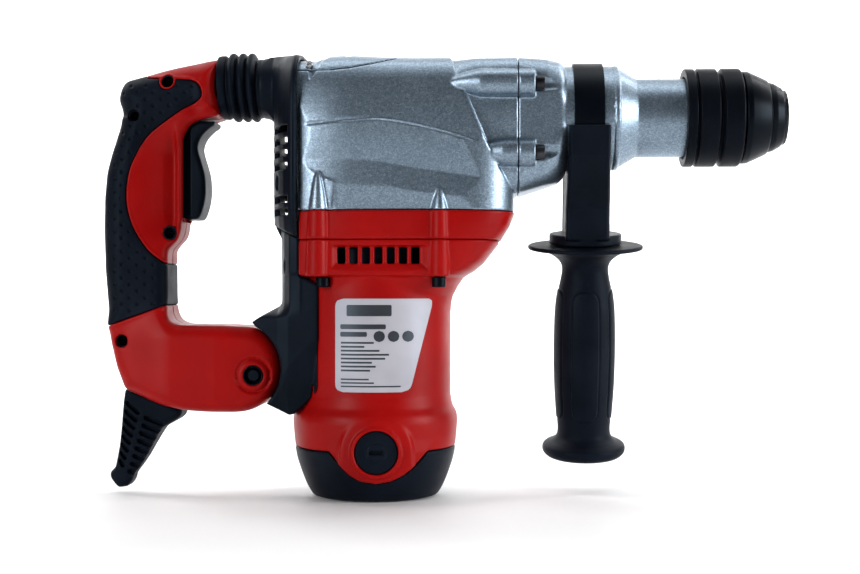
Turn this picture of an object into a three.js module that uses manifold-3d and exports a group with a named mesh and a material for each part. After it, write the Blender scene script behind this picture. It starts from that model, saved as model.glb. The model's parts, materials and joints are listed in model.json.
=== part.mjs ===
// Rotary hammer with a vertical motor, a sprung D-shaped rear handle and a clamped side handle.
// Millimetres, +X towards the tool bit, +Z up. The origin is on the motor axis, on the flat
// underside of the motor's end cap. "Right" is the -Y side and "left" is the +Y side.
import * as THREE from 'three';
import * as BufferGeometryUtils from 'three/addons/utils/BufferGeometryUtils.js';
import Module from 'manifold-3d';

const wasm = await Module();
wasm.setup();

// ---------------------------------------------------------------- driving dimensions
const GAP = 0.3; // air between two touching pieces
const BARREL_Z = 208.5; // height of the hammer axis
const BARREL_R = 21.6; // front housing's nose
const COLLAR_R = 28.75; // seat of the side handle
const MOTOR_R = 41.5; // motor housing's barrel
const BODY_HALF = 42.5; // half width of the gear housing
const BODY_TOP = 243.3;
const BODY_REAR = -38.2; // joint plane between gear housing and rear cover
const BODY_FRONT = 79; // joint plane between gear housing and front housing
const FLANGE_TOP = 155.6; // joint plane between flange and gear housing
const FLANGE_BOTTOM = 140.3; // joint plane between motor housing and flange
const CAP_TOP = 27; // joint plane between end cap and motor housing
const BRUSH_TURN = THREE.MathUtils.degToRad(5.2); // the brush axis is turned a little from Y
const BRUSH_Z = 27.4;
const CRANK_X = 22;
const CRANK_THROW = 11;
const ROD_LENGTH = 31;
const COUNTERSHAFT_X = 57;
const HANDLE_HALF = 17; // half width of the rear handle's grip
const ARM_HALF = 24; // half width of its lower arm
const PIVOT = { x: -65.4, z: 66.6 }; // rear handle's pivot
const ARM_END = { x: -75, z: 70.5, r: 24.4 }; // round end of the lower arm
const BOOT_LEAN = THREE.MathUtils.degToRad(12); // cord exit's tilt from the vertical
const SIDE_X = 117.5; // side handle's axis along the barrel
const SIDE_SWING = THREE.MathUtils.degToRad(8); // how far the side handle is swung to the left
const NOSE_X = 227.7;

// ---------------------------------------------------------------- materials
function material(colour, roughness, metalness) {
  return new THREE.MeshStandardMaterial({ color: colour, roughness, metalness });
}
const red = material(0xb81414, 0.38, 0);
const black = material(0x17191d, 0.5, 0);
const rubber = material(0x1b212b, 0.75, 0);
const silver = material(0x8d979e, 0.42, 0.7);
const steel = material(0xa8abad, 0.3, 1);
const darkSteel = material(0x3b3d40, 0.4, 0.9);
const copper = material(0xb06a3a, 0.35, 0.9);
const carbon = material(0x2a2a2c, 0.7, 0.1);
const label = material(0xb9b7c0, 0.35, 0.2);

// ---------------------------------------------------------------- solids and outlines
function toSolid(geometry) {
  const bare = geometry.clone();
  bare.deleteAttribute('normal');
  bare.deleteAttribute('uv');
  const merged = BufferGeometryUtils.mergeVertices(bare, 1e-4);
  const vertProperties = new Float32Array(merged.attributes.position.array);
  const triVerts = new Uint32Array(merged.index.array);
  return new wasm.Manifold(new wasm.Mesh({ numProp: 3, vertProperties, triVerts }));
}

function toGeometry(solid) {
  const mesh = solid.getMesh();
  const geometry = new THREE.BufferGeometry();
  geometry.setAttribute('position', new THREE.BufferAttribute(mesh.vertProperties.slice(), 3));
  geometry.setIndex(new THREE.BufferAttribute(mesh.triVerts.slice(), 1));
  geometry.computeVertexNormals();
  return geometry;
}

function moved(solid, matrix) {
  return toSolid(toGeometry(solid).applyMatrix4(matrix));
}

function shifted(solid, x, y, z) {
  return moved(solid, new THREE.Matrix4().makeTranslation(x, y, z));
}

function join(first, ...others) {
  return others.reduce((sum, other) => sum.add(other), first);
}

function cut(first, ...others) {
  return others.reduce((rest, other) => rest.subtract(other), first);
}

function signedArea(points) {
  let sum = 0;
  points.forEach(([x, y], index) => {
    const [nextX, nextY] = points[(index + 1) % points.length];
    sum += x * nextY - nextX * y;
  });
  return sum / 2;
}

// Points of an arc, both ends included, angles in degrees.
function arc(x, z, r, from, to, steps) {
  const points = [];
  for (let step = 0; step <= steps; step += 1) {
    const angle = THREE.MathUtils.degToRad(from + ((to - from) * step) / steps);
    points.push([x + r * Math.cos(angle), z + r * Math.sin(angle)]);
  }
  return points;
}

// Moves every corner of an outline inwards by a distance.
function inset(points, distance) {
  const turn = Math.sign(signedArea(points));
  const count = points.length;
  return points.map((point, index) => {
    const before = points[(index + count - 1) % count];
    const after = points[(index + 1) % count];
    const into = new THREE.Vector2(point[0] - before[0], point[1] - before[1]).normalize();
    const away = new THREE.Vector2(after[0] - point[0], after[1] - point[1]).normalize();
    const sum = new THREE.Vector2(-into.y - away.y, into.x + away.x).multiplyScalar(turn);
    const half = Math.max(sum.length() / 2, 0.35);
    sum.normalize().multiplyScalar(distance / half);
    return [point[0] + sum.x, point[1] + sum.y];
  });
}

// A plate: an outline drawn in X and Z, reaching from one Y to another, with rounded rims.
function plate(points, yFrom, yTo, rim = 0) {
  const outline = rim > 0 ? inset(points, rim) : points;
  const shape = new THREE.Shape(outline.map(([x, z]) => new THREE.Vector2(x, z)));
  const geometry = new THREE.ExtrudeGeometry(shape, {
    depth: yTo - yFrom - 2 * rim,
    bevelEnabled: rim > 0,
    bevelThickness: rim,
    bevelSize: rim,
    bevelSegments: rim > 5 ? 2 : 1,
    steps: 1,
  });
  geometry.rotateX(Math.PI / 2);
  geometry.translate(0, yTo - rim, 0);
  return toSolid(geometry);
}

// A bar: an outline drawn in Y and Z, reaching from one X to another.
function barAlongX(points, xFrom, xTo) {
  const shape = new THREE.Shape(points.map(([y, z]) => new THREE.Vector2(y, z)));
  const geometry = new THREE.ExtrudeGeometry(shape, { depth: xTo - xFrom, bevelEnabled: false });
  geometry.rotateX(Math.PI / 2);
  geometry.rotateZ(Math.PI / 2);
  geometry.translate(xFrom, 0, 0);
  return toSolid(geometry);
}

function box(xFrom, xTo, yFrom, yTo, zFrom, zTo) {
  const geometry = new THREE.BoxGeometry(xTo - xFrom, yTo - yFrom, zTo - zFrom);
  geometry.translate((xFrom + xTo) / 2, (yFrom + yTo) / 2, (zFrom + zTo) / 2);
  return toSolid(geometry);
}

// A turned piece from closed profile points [radius, height along the axis].
function turned(profile, axis, segments, at = [0, 0, 0]) {
  const ordered = signedArea(profile) > 0 ? profile : [...profile].reverse();
  const points = [...ordered, ordered[0]].map(([r, h]) => new THREE.Vector2(r, h));
  const geometry = new THREE.LatheGeometry(points, segments);
  if (axis === 'x') geometry.rotateZ(-Math.PI / 2);
  if (axis === 'z') geometry.rotateX(Math.PI / 2);
  geometry.translate(...at);
  return toSolid(geometry);
}

function rod(r, from, to, axis, segments, at = [0, 0, 0]) {
  return turned([[0, from], [r, from], [r, to], [0, to]], axis, segments, at);
}

function ring(rInner, rOuter, from, to, axis, segments, at = [0, 0, 0]) {
  const profile = [[rInner, from], [rOuter, from], [rOuter, to], [rInner, to]];
  return turned(profile, axis, segments, at);
}

const onBarrel = [0, 0, BARREL_Z];

// One closed super-ellipse between two limits and a half width, as [along, across] pairs.
function squircle(low, high, half, power, count) {
  const points = [];
  for (let step = 0; step < count; step += 1) {
    const angle = (2 * Math.PI * (step + 0.5)) / count;
    const c = Math.cos(angle);
    const s = Math.sin(angle);
    const across = half * Math.sign(c) * Math.abs(c) ** (2 / power);
    const along = ((high - low) / 2) * Math.sign(s) * Math.abs(s) ** (2 / power);
    points.push([(low + high) / 2 + along, across]);
  }
  return points;
}

// Skins a row of rings with equal point counts and closes both ends.
function skinned(rings) {
  const count = rings[0].length;
  const positions = rings.flat().flatMap((point) => [point.x, point.y, point.z]);
  const index = [];
  for (let row = 0; row < rings.length - 1; row += 1) {
    for (let step = 0; step < count; step += 1) {
      const next = (step + 1) % count;
      const a = row * count + step;
      const b = row * count + next;
      index.push(a, b, b + count, a, b + count, a + count);
    }
  }
  const last = (rings.length - 1) * count;
  for (let step = 1; step < count - 1; step += 1) {
    index.push(0, step + 1, step);
    index.push(last, last + step, last + step + 1);
  }
  const geometry = new THREE.BufferGeometry();
  geometry.setAttribute('position', new THREE.Float32BufferAttribute(positions, 3));
  geometry.setIndex(index);
  return toSolid(geometry);
}

// A rounded body along X from rows of [x, bottom, top, half width, power].
function bodyAlongX(rows, count = 20) {
  return skinned(rows.map(([x, bottom, top, half, power]) => squircle(bottom, top, half, power, count)
    .map(([z, y]) => new THREE.Vector3(x, y, z))));
}

// A rounded body along Z from rows of [z, rear, front, half width, power].
function bodyAlongZ(rows, count = 32) {
  return skinned(rows.map(([z, rear, front, half, power]) => squircle(rear, front, half, power, count)
    .map(([x, y]) => new THREE.Vector3(x, -y, z))));
}

// A toothed disc about a vertical axis.
function gear(teeth, rTip, rRoot, rBore, zFrom, zTo, x) {
  const shape = new THREE.Shape();
  const steps = teeth * 4;
  for (let step = 0; step < steps; step += 1) {
    const angle = (2 * Math.PI * (step + 0.5)) / steps;
    const r = step % 4 < 2 ? rTip : rRoot;
    const point = [r * Math.cos(angle), r * Math.sin(angle)];
    if (step === 0) shape.moveTo(...point);
    else shape.lineTo(...point);
  }
  shape.closePath();
  const geometry = new THREE.ExtrudeGeometry(shape, { depth: zTo - zFrom, bevelEnabled: false });
  geometry.translate(x, 0, zFrom);
  const bore = rod(rBore, zFrom - 1, zTo + 1, 'z', 20, [x, 0, 0]);
  return toSolid(geometry).subtract(bore);
}

const hammer = new THREE.Group();

function addMesh(name, solid, finish, parent = hammer) {
  const mesh = new THREE.Mesh(toGeometry(solid), finish);
  mesh.name = name;
  parent.add(mesh);
  return mesh;
}

// Both sides of the tool: the right is -Y.
const SIDES = [['right', -1], ['left', 1]];

// ---------------------------------------------------------------- gear housing and its cover
const BOSS_Y = 31;
const BOSS_R = 7.2;
const BOSS_HEIGHTS = [[224, 41], [187, 53]]; // height of each screw boss and where its point starts
const MOTOR_SCREWS = [[-25.1, 171], [36.9, 164]]; // X of each motor screw and the top of its rib
const MOTOR_SCREW_Y = 36.5;

// Wide rear body: an arched section that ends at a slanted line in front.
function wideBody() {
  const half = [
    [BODY_HALF - 0.5, FLANGE_TOP + GAP], [BODY_HALF, 182], [BODY_HALF - 1.5, 203], [36.5, 224],
    [32.5, 233], [26, 239], [17, 242.3], [0, BODY_TOP],
  ];
  const section = [...half, ...half.slice(0, -1).reverse().map(([y, z]) => [-y, z])];
  const outline = [
    [BODY_REAR, FLANGE_TOP + GAP], [77.5, FLANGE_TOP + GAP], [77, 165.6], [69, 179], [61.7, 193.7],
    [52.6, 215.2], [46, 229.5], [42, 242], [28, 246], [BODY_REAR, 246],
  ];
  return barAlongX(section, BODY_REAR, 78).intersect(plate(outline, -50, 50));
}

function bulletBoss(y, z, xPoint, xEnd) {
  const profile = [[0, xPoint], [BOSS_R * 0.45, xPoint + 3], [BOSS_R * 0.8, xPoint + 9],
    [BOSS_R, xPoint + 17], [BOSS_R, xEnd], [0, xEnd]];
  return turned(profile, 'x', 12, [0, y, z]);
}

function screwColumn(x, y, zTop) {
  const profile = [[0, FLANGE_TOP + GAP], [5, FLANGE_TOP + GAP], [4.4, 160], [1.8, zTop - 3], [0, zTop]];
  return turned(profile, 'z', 10, [x, y, 0]);
}

function addGearHousing() {
  const block = bodyAlongX([[30, 162, 241.9, 37, 4], [50, 162.5, 241.8, 36, 4], [64, 164, 241.6, 33.5, 4],
    [BODY_FRONT, 165.8, 241, 31.5, 4]]);
  let shell = wideBody().add(block);
  for (const [, side] of SIDES) {
    for (const [z, xPoint] of BOSS_HEIGHTS) {
      shell = shell.add(bulletBoss(side * BOSS_Y, z, xPoint, BODY_FRONT));
    }
    for (const [x, zTop] of MOTOR_SCREWS) {
      shell = shell.add(screwColumn(x, side * (MOTOR_SCREW_Y + 1.5), zTop));
    }
  }
  const chamber = [[-34, 150], [34, 150], [37, 160], [37, 205], [30, 228], [18, 236], [-18, 236],
    [-30, 228], [-37, 205], [-37, 160]];
  shell = cut(shell, barAlongX(chamber, BODY_REAR + 4, 56), rod(32.2, 50, 72, 'x', 24, onBarrel));
  shell = cut(shell, box(34, 74.6, -18, 18, 150, 190), rod(26, 70, 90, 'x', 24, onBarrel));
  for (const [, side] of SIDES) {
    for (const [z] of BOSS_HEIGHTS) {
      shell = shell.subtract(rod(2.5, 60, 90, 'x', 8, [0, side * BOSS_Y, z]));
    }
    for (const [x] of MOTOR_SCREWS) {
      shell = shell.subtract(rod(2.5, 150, 161, 'z', 8, [x, side * MOTOR_SCREW_Y, 0]));
    }
  }
  shell = shell.subtract(rod(6.3, 34, 60, 'y', 16, [10, 0, 190]));
  const lidZone = [[-60, 231.7], [-22, 231.7], [-12, 232.5], [0, 235], [13, 239], [14, 260], [-60, 260]];
  const lid = shell.intersect(plate(inset(lidZone, GAP / 2), -60, 60));
  addMesh('gear_housing', shell.subtract(plate(inset(lidZone, -GAP / 2), -60, 60)), silver);
  addMesh('top_cover', lid, silver);
}

// ---------------------------------------------------------------- front housing
function addFrontHousing() {
  const start = BODY_FRONT + GAP;
  const block = bodyAlongX([[start, 165.8, 241, 31.5, 4], [92, 169.6, 240.6, 30.4, 3.4],
    [101, 172.4, 239.6, 29.6, 2.8], [104.4, 175.4, 238.2, 29, 2.3]]);
  const tube = turned([[0, 100], [COLLAR_R, 100], [COLLAR_R, 134.5], [27.6, 135], [BARREL_R, 144.4],
    [BARREL_R, 171], [BARREL_R - 0.8, 171.7], [0, 171.7]], 'x', 24, onBarrel);
  let shell = block.add(tube);
  for (const [, side] of SIDES) {
    for (const [z] of BOSS_HEIGHTS) {
      shell = shell.add(rod(BOSS_R, start, 88.3, 'x', 12, [0, side * BOSS_Y, z]));
    }
  }
  shell = cut(shell, rod(24, start - 2, 121, 'x', 24, onBarrel), rod(18.7, 120, 175, 'x', 24, onBarrel));
  for (const [sideName, side] of SIDES) {
    BOSS_HEIGHTS.forEach(([z], row) => {
      const at = [0, side * BOSS_Y, z];
      shell = shell.subtract(rod(2.5, start - 2, 100, 'x', 8, at));
      shell = shell.subtract(rod(4.3, 88.3, 106, 'x', 10, at));
      const head = rod(3.6, 88.6, 93.4, 'x', 12, at).subtract(rod(1.7, 91, 95, 'x', 6, at));
      const screw = head.add(rod(2.2, 62, 89, 'x', 8, at));
      addMesh(`front_screw_${sideName}_${row === 0 ? 'upper' : 'lower'}`, screw, darkSteel);
    });
  }
  addMesh('front_housing', shell, silver);
  addMesh('barrel_bearing', ring(15.3, 18.4, 148, 162, 'x', 20, onBarrel), steel);
  addMesh('barrel_seal', ring(15.3, 18.4, 164, 170, 'x', 20, onBarrel), rubber);
}

// ---------------------------------------------------------------- motor housing and flange
const VENT_COUNT = 7;
const VENT_FIRST_X = -14.8;
const VENT_PITCH = 6.56;

// Red skirt under each brush cap, which hangs down over the end cap.
function skirtZone() {
  return [[-22, CAP_TOP + 2], [-22, CAP_TOP], [-15.3, 20], [-10.5, 15.3], [-4.9, 12], [3.6, 10.6],
    [11.2, 11.8], [17.8, 14.8], [24.4, 20], [32, CAP_TOP], [32, CAP_TOP + 2]];
}

function capOutside(grow) {
  const heights = [[35, 0], [37.7, 4], [39.7, 8], [42, 14], [44, 20.6], [45, CAP_TOP + 1]];
  const wall = heights.map(([r, z]) => [r + grow, z]);
  return [[0, 0], ...wall, [0, CAP_TOP + 1]];
}

function turnAboutMotor(solid, angle) {
  return moved(solid, new THREE.Matrix4().makeRotationZ(angle));
}

function addMotorHousing() {
  const wall = [[44.6, CAP_TOP + GAP], [45.7, 38], [45.7, 43.5], [MOTOR_R, 57], [MOTOR_R, 121]];
  let shell = turned([[0, CAP_TOP + GAP], ...wall, [0, 121]], 'z', 32);
  const rows = [[107, -39, 39, 38, 2], [113, -44, 44.6, 42.2, 2.4], [120, -46, 48.6, 43, 3.2],
    [124, -48, 55, 43.5, 4], [128.3, -48, 60.5, 43.5, 4], [134.7, -48, 65.3, 43.5, 4],
    [FLANGE_BOTTOM - GAP / 2, -48, 69.3, 43.5, 4]];
  const upper = bodyAlongZ(rows);
  const bracketOutline = [[-60, 100], [-27.7, 100], [-27.7, 116.9], [-37.9, 121.6], [-60, 121.6]];
  const bracketRoom = plate(bracketOutline, -31.5, 31.5);
  shell = shell.add(cut(upper, box(-60, BODY_REAR + 0.2, -60, 60, 100, 150), bracketRoom));
  for (const [, side] of SIDES) {
    for (const [x] of MOTOR_SCREWS) {
      const at = [x, side * (MOTOR_SCREW_Y + 1.2), 0];
      shell = shell.add(rod(5.2, 120.7, FLANGE_BOTTOM - GAP / 2, 'z', 10, at));
    }
  }
  const skirt = turned(capOutside(0.5), 'z', 32);
  const [behind, ahead] = [-50, -20];
  const skirtRight = skirt.intersect(plate(inset(skirtZone(), GAP), behind, ahead));
  const skirtLeft = turnAboutMotor(skirtRight, Math.PI);
  shell = join(shell, skirtRight, skirtLeft);
  const along = [0, 0, BRUSH_Z];
  const boss = rod(14, -46, 46, 'y', 18, along).subtract(rod(39, -60, 60, 'z', 24));
  shell = shell.add(turnAboutMotor(boss, BRUSH_TURN));
  const inside = turned([[0, 0], [36, 0], [38, 30], [38, 112], [34, 128], [34, 136], [15.3, 136],
    [15.3, 145], [0, 145]], 'z', 24);
  shell = cut(shell, inside);
  const seats = join(rod(11.9, 38.5, 60, 'y', 18, along), rod(11.9, -60, -38.5, 'y', 18, along),
    rod(7.4, -60, 60, 'y', 12, along));
  shell = shell.subtract(turnAboutMotor(seats, BRUSH_TURN));
  for (let slot = 0; slot < VENT_COUNT; slot += 1) {
    const x = VENT_FIRST_X + slot * VENT_PITCH;
    shell = shell.subtract(box(x - 2.15, x + 2.15, -60, 60, 127.3, 135.4));
  }
  for (const [sideName, side] of SIDES) {
    MOTOR_SCREWS.forEach(([x], row) => {
      const at = [x, side * MOTOR_SCREW_Y, 0];
      shell = shell.subtract(rod(2.5, 118, 150, 'z', 8, at));
      const screw = rod(3.8, 114.9, 120.4, 'z', 12, at).add(rod(2.2, 120, 158, 'z', 8, at));
      const clear = rod(4.4, 100, 120.7, 'z', 10, at);
      shell = shell.subtract(clear);
      addMesh(`motor_screw_${sideName}_${row === 0 ? 'rear' : 'front'}`, screw, black);
    });
  }
  addMesh('motor_housing', shell, red);

  const low = FLANGE_BOTTOM + GAP / 2;
  let flange = bodyAlongZ([[low, -48, 69.7, 43.5, 4], [149, -48, 75, 43.5, 4],
    [FLANGE_TOP, -48, 77.6, 43, 4]], 24);
  flange = flange.subtract(box(-60, BODY_REAR + 0.2, -60, 60, 100, 170));
  for (const [, side] of SIDES) {
    for (const [x] of MOTOR_SCREWS) {
      const at = [x, side * (MOTOR_SCREW_Y + 1.2), 0];
      flange = flange.add(rod(5.2, low, FLANGE_TOP, 'z', 10, at));
    }
  }
  flange = cut(flange, rod(15.3, 100, 170, 'z', 24), box(-32, 70, -33, 33, 152, 160));
  for (const [, side] of SIDES) {
    for (const [x] of MOTOR_SCREWS) {
      flange = flange.subtract(rod(2.5, 100, 170, 'z', 8, [x, side * MOTOR_SCREW_Y, 0]));
    }
  }
  addMesh('intermediate_flange', flange, red);

  const outline = [[-18.3, 59], [21.5, 59], [32.8, 105], [32.8, 108.8], [-18.3, 108.8]];
  const skin = ring(MOTOR_R + GAP, MOTOR_R + GAP + 0.4, 50, 115, 'z', 72);
  addMesh('nameplate', skin.intersect(plate(outline, -60, 0)), label);
}

function addEndCap() {
  let cap = turned(capOutside(0), 'z', 32);
  cap = cap.subtract(box(-60, 60, -60, 60, CAP_TOP, CAP_TOP + 5));
  const hollow = turned([[0, 4], [34.5, 4], [40.5, CAP_TOP + 2], [0, CAP_TOP + 2]], 'z', 24);
  cap = cap.subtract(hollow).add(ring(11.2, 14, 3, 17, 'z', 24));
  const zone = plate(skirtZone(), -60, -20);
  const along = [0, 0, BRUSH_Z];
  const bossRoom = rod(14.4, -60, 60, 'y', 18, along).subtract(rod(30, 0, 60, 'z', 24));
  cap = cut(cap, zone, turnAboutMotor(zone, Math.PI), turnAboutMotor(bossRoom, BRUSH_TURN));
  addMesh('end_cap', cap, black);
}

// ---------------------------------------------------------------- brushes
function addBrushGear() {
  for (const [sideName, side] of SIDES) {
    const at = [0, 0, BRUSH_Z];
    const out = (near, far) => (side < 0 ? [-far, -near] : [near, far]);
    const cap = join(rod(11.5, ...out(41, 45.6), 'y', 20, at), rod(6.8, ...out(38.6, 42), 'y', 12, at));
    const slotX = 3.6;
    const slot = box(-slotX, slotX, ...out(44.2, 50), BRUSH_Z - 1, BRUSH_Z + 1);
    addMesh(`brush_cap_${sideName}`, turnAboutMotor(cap.subtract(slot), BRUSH_TURN), black);
    const holder = box(-4.6, 4.6, ...out(16.5, 38), BRUSH_Z - 4.6, BRUSH_Z + 4.6);
    const bore = box(-3.1, 3.1, ...out(10, 44), BRUSH_Z - 3.1, BRUSH_Z + 3.1);
    addMesh(`brush_holder_${sideName}`, turnAboutMotor(holder.subtract(bore), BRUSH_TURN), copper);
    const brush = box(-2.8, 2.8, ...out(14.4, 32), BRUSH_Z - 2.8, BRUSH_Z + 2.8);
    addMesh(`carbon_brush_${sideName}`, turnAboutMotor(brush, BRUSH_TURN), carbon);
  }
}

// ---------------------------------------------------------------- motor inside
function addMotor() {
  const stator = turned([[25, 56], [35, 50], [37.4, 58], [37.4, 96], [35, 104], [25, 98]], 'z', 18);
  addMesh('stator', stator, copper);
  addMesh('lower_bearing', ring(5.2, 11, 8, 16.5, 'z', 18), steel);
  addMesh('upper_bearing', ring(5.2, 15, 142, 150.5, 'z', 18), steel);
  const shaft = turned([[0, 6], [5, 6], [5, 152.2], [3.4, 152.6], [3.4, 166], [0, 166]], 'z', 18);
  addMesh('armature_shaft', shaft, steel);
  addMesh('armature_core', ring(5.2, 23.6, 54, 98, 'z', 18), darkSteel);
  addMesh('commutator', ring(5.2, 14, 19, 37, 'z', 18), copper);
  let fan = ring(5.2, 33, 121, 123, 'z', 18).add(ring(5.2, 11, 113, 123, 'z', 18));
  const blades = 8;
  for (let blade = 0; blade < blades; blade += 1) {
    const turn = (2 * Math.PI * blade) / blades;
    fan = fan.add(turnAboutMotor(box(9, 32, -0.8, 0.8, 114, 122), turn));
  }
  addMesh('cooling_fan', fan, black);
}

// ---------------------------------------------------------------- gears, crank and hammer mechanism
function addCrankDrive() {
  const pinTop = 202.6;
  const crankAt = [CRANK_X, 0, 0];
  const web = join(rod(8, 154.5, 183, 'z', 18, crankAt), rod(17, 181, 187, 'z', 18, crankAt));
  const pin = rod(4, 186, pinTop, 'z', 18, [CRANK_X + CRANK_THROW, 0, 0]);
  addMesh('crankshaft', web.add(pin), steel);
  addMesh('crank_gear', gear(15, 17.9, 16.4, 8.2, 158, 167, CRANK_X), steel);
  addMesh('countershaft', rod(4, 153, 172, 'z', 16, [COUNTERSHAFT_X, 0, 0]), steel);
  addMesh('countershaft_gear', gear(13, 16.7, 15.2, 4.2, 158, 167, COUNTERSHAFT_X), steel);
  const bevelPinion = turned([[0, 172.3], [8.4, 172.3], [7, 179.5], [0, 179.5]], 'z', 16,
    [COUNTERSHAFT_X, 0, 0]);
  addMesh('bevel_pinion', bevelPinion, steel);
}

function addHammerMechanism() {
  const wristX = CRANK_X + CRANK_THROW + ROD_LENGTH;
  const piston = join(
    turned([[13, wristX - 4.5], [15.6, wristX - 4.5], [15.6, wristX + 14], [0, wristX + 14],
      [0, wristX + 8], [13, wristX + 8]], 'x', 18, onBarrel),
    rod(3.2, BARREL_Z - 13.5, BARREL_Z + 13.5, 'z', 12, [wristX, 0, 0]),
  );
  addMesh('piston', piston, steel);
  const bigEndX = CRANK_X + CRANK_THROW;
  const eye = ring(4.8, 8.5, 203, 214, 'z', 18, [bigEndX, 0, 0]);
  const smallEye = ring(3.5, 6.5, 203, 214, 'z', 14, [wristX, 0, 0]);
  const bar = box(bigEndX + 7, wristX - 5.5, -3.5, 3.5, 204, 213);
  addMesh('connecting_rod', join(eye, smallEye, bar), steel);
  const striker = [[0, 90], [8, 90], [8, 92], [15.6, 92], [15.6, 108], [9, 108], [9, 116], [0, 116]];
  addMesh('striker', turned(striker, 'x', 18, onBarrel), steel);
  const bolt = [[0, 121.5], [10, 121.5], [10, 130.3], [7.4, 132.3], [7.4, 159.5], [0, 159.5]];
  addMesh('impact_bolt', turned(bolt, 'x', 18, onBarrel), steel);
}

function addSpindle() {
  const tube = [[16, 62], [20, 62], [20, 117], [17, 117.5], [17, 120], [16, 120]];
  addMesh('spindle_tube', turned(tube, 'x', 24, onBarrel), steel);
  const bevel = turned([[20.3, 63.5], [30.5, 65], [28, 72], [20.3, 72]], 'x', 24, onBarrel);
  addMesh('bevel_gear', bevel, steel);
  const holder = turned([[10.6, 120.4], [15, 120.4], [15, 226], [5.2, 226], [5.2, 164], [7.8, 164],
    [7.8, 136], [10.6, 133.5]], 'x', 20, onBarrel);
  addMesh('tool_holder', holder, darkSteel);
  const cap = turned([[15.3, 202], [25.2, 202], [25.2, 205], [20.4, 216], [19.4, 216.3], [19.2, 219],
    [16.5, 225.3], [15, NOSE_X], [7, NOSE_X], [7, 226.3], [15.3, 226.3]], 'x', 24, onBarrel);
  addMesh('dust_cap', cap, rubber);
  const r = 27;
  const sleeve = [[25, 170.5], [r, 170.5], [r, 178.6], [26.3, 179.5], [r, 180.4], [r, 188.8],
    [25.6, 190.2], [r, 191.6], [r, 200.4], [26, 201], [15.4, 201], [15.4, 183], [25, 181.5]];
  addMesh('chuck_sleeve', turned(sleeve, 'x', 24, onBarrel), black);
}

// ---------------------------------------------------------------- rear cover and lower bracket
const COVER_EDGE = BODY_REAR - GAP;

function addRearCover() {
  const rows = [[-55.2, 150, 236, 14, 3], [-53, 147, 240, 27, 3.2], [-48.5, 146.4, 242.6, 36, 3.6],
    [-44, 146.4, 243.6, 39.5, 4], [COVER_EDGE, 146.4, 244, 41.5, 4.6]];
  const main = bodyAlongX(rows, 24);
  const tube = bodyAlongX([[-65, 210, 243.6, 16.8, 2.3], [-44, 209.4, 244, 17.2, 2.3]]);
  let cover = main.intersect(box(-80, COVER_EDGE, -60, 60, 146.4, 260)).add(tube);
  const hollow = bodyAlongX([[-51.5, 154, 232, 14, 3], [-48, 150, 237, 30, 3.4], [-42, 149, 240.5, 36, 4],
    [-30, 149, 240.8, 37, 4]]);
  cover = cut(cover, hollow, rod(11, -70, -48, 'x', 24, [0, 0, 227]));
  for (const z of [200.1, 193.4, 186.8, 180, 162.2, 155.6]) {
    cover = cover.subtract(box(-60, -46.8, -60, 60, z - 2, z + 2).subtract(box(-60, -44, -9, 9, 140, 210)));
  }
  addMesh('rear_cover', cover, black);

  const throat = ARM_END.r + 1.4;
  const outline = [[-55.2, 146], [-50.6, 140.6], [-50.4, 108], [-52, 104.7], [-62.6, 96.6],
    ...arc(ARM_END.x, ARM_END.z, throat, 62, -46, 12), [-56.8, 51.2], [-44.8, 45.6], [-42.1, 46.1],
    [-28.6, 58], [-28, 60], [-28, 116.5], [COVER_EDGE, 121.2], [COVER_EDGE, 146]];
  const rounding = bodyAlongX([[-66, 30, 160, 26, 5], [-54, 30, 160, 29, 6], [-20, 30, 160, 31, 8]]);
  let bracket = plate(outline, -31, 31).intersect(rounding);
  const tongue = plate([...arc(PIVOT.x, PIVOT.z, 11, 90, 270, 10), [-40, PIVOT.z - 11],
    [-40, PIVOT.z + 11]], -9, 9);
  bracket = bracket.add(tongue);
  bracket = cut(bracket, rod(MOTOR_R + GAP, 30, 121.2, 'z', 32), rod(46, 30, 47, 'z', 32),
    turned([[0, 42], [46.3, 42], [46.3, 43.8], [41.9, 57.8], [0, 57.8]], 'z', 32),
    rod(3.4, -20, 20, 'y', 16, [PIVOT.x, 0, PIVOT.z]));
  addMesh('lower_bracket', bracket, black);
}

// ---------------------------------------------------------------- rear handle
function handleOutline() {
  return [
    [-86, 242], [-98, 240.3], [-108, 238.5], [-118, 236], [-128, 233.2], [-138.5, 229.6], [-142, 225],
    [-142.8, 219.8], [-140.2, 212.4], [-141.4, 205], [-146.5, 188.7], [-148.8, 179], [-150.4, 165],
    [-150.6, 145], [-150, 120], [-147.5, 94.2], [-146, 83], [-143.3, 70.5], [-139.6, 60.5], [-135.2, 57.6],
    [-124, 52.3], [-114.9, 49.3], [-104.3, 47.1], [-92, 46.2],
    ...arc(ARM_END.x, ARM_END.z, ARM_END.r, -90, 66, 12),
    [-107.6, 93.6], [-112, 95.8], [-114.2, 101], [-114.4, 127.5], [-114, 138], [-109.8, 145.7],
    [-108, 150], [-105.4, 153], [-105.4, 198.5], [-101.6, 204.9], [-96, 208.4], [-86, 210.6],
  ];
}

function softZone(grow) {
  const boundary = [[-129, 245], [-126.7, 231.1], [-108, 229.5], [-99.5, 228.4], [-95.4, 224.4],
    [-95.6, 219.6], [-106.2, 212.8], [-116, 206], [-125.7, 198.2], [-131.6, 188.4], [-135.5, 178.6],
    [-137, 166.8], [-136, 157], [-132.6, 146.3], [-125.7, 136], [-117.9, 129.5], [-113, 126.7],
    [-100, 126.7], [-100, 110.7], [-112.8, 106.2], [-129.4, 99.9], [-145, 94.5], [-165, 87.6],
    [-165, 245]];
  return inset(boundary, -grow);
}

const TRIGGER_TRAVEL = 6;

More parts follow.
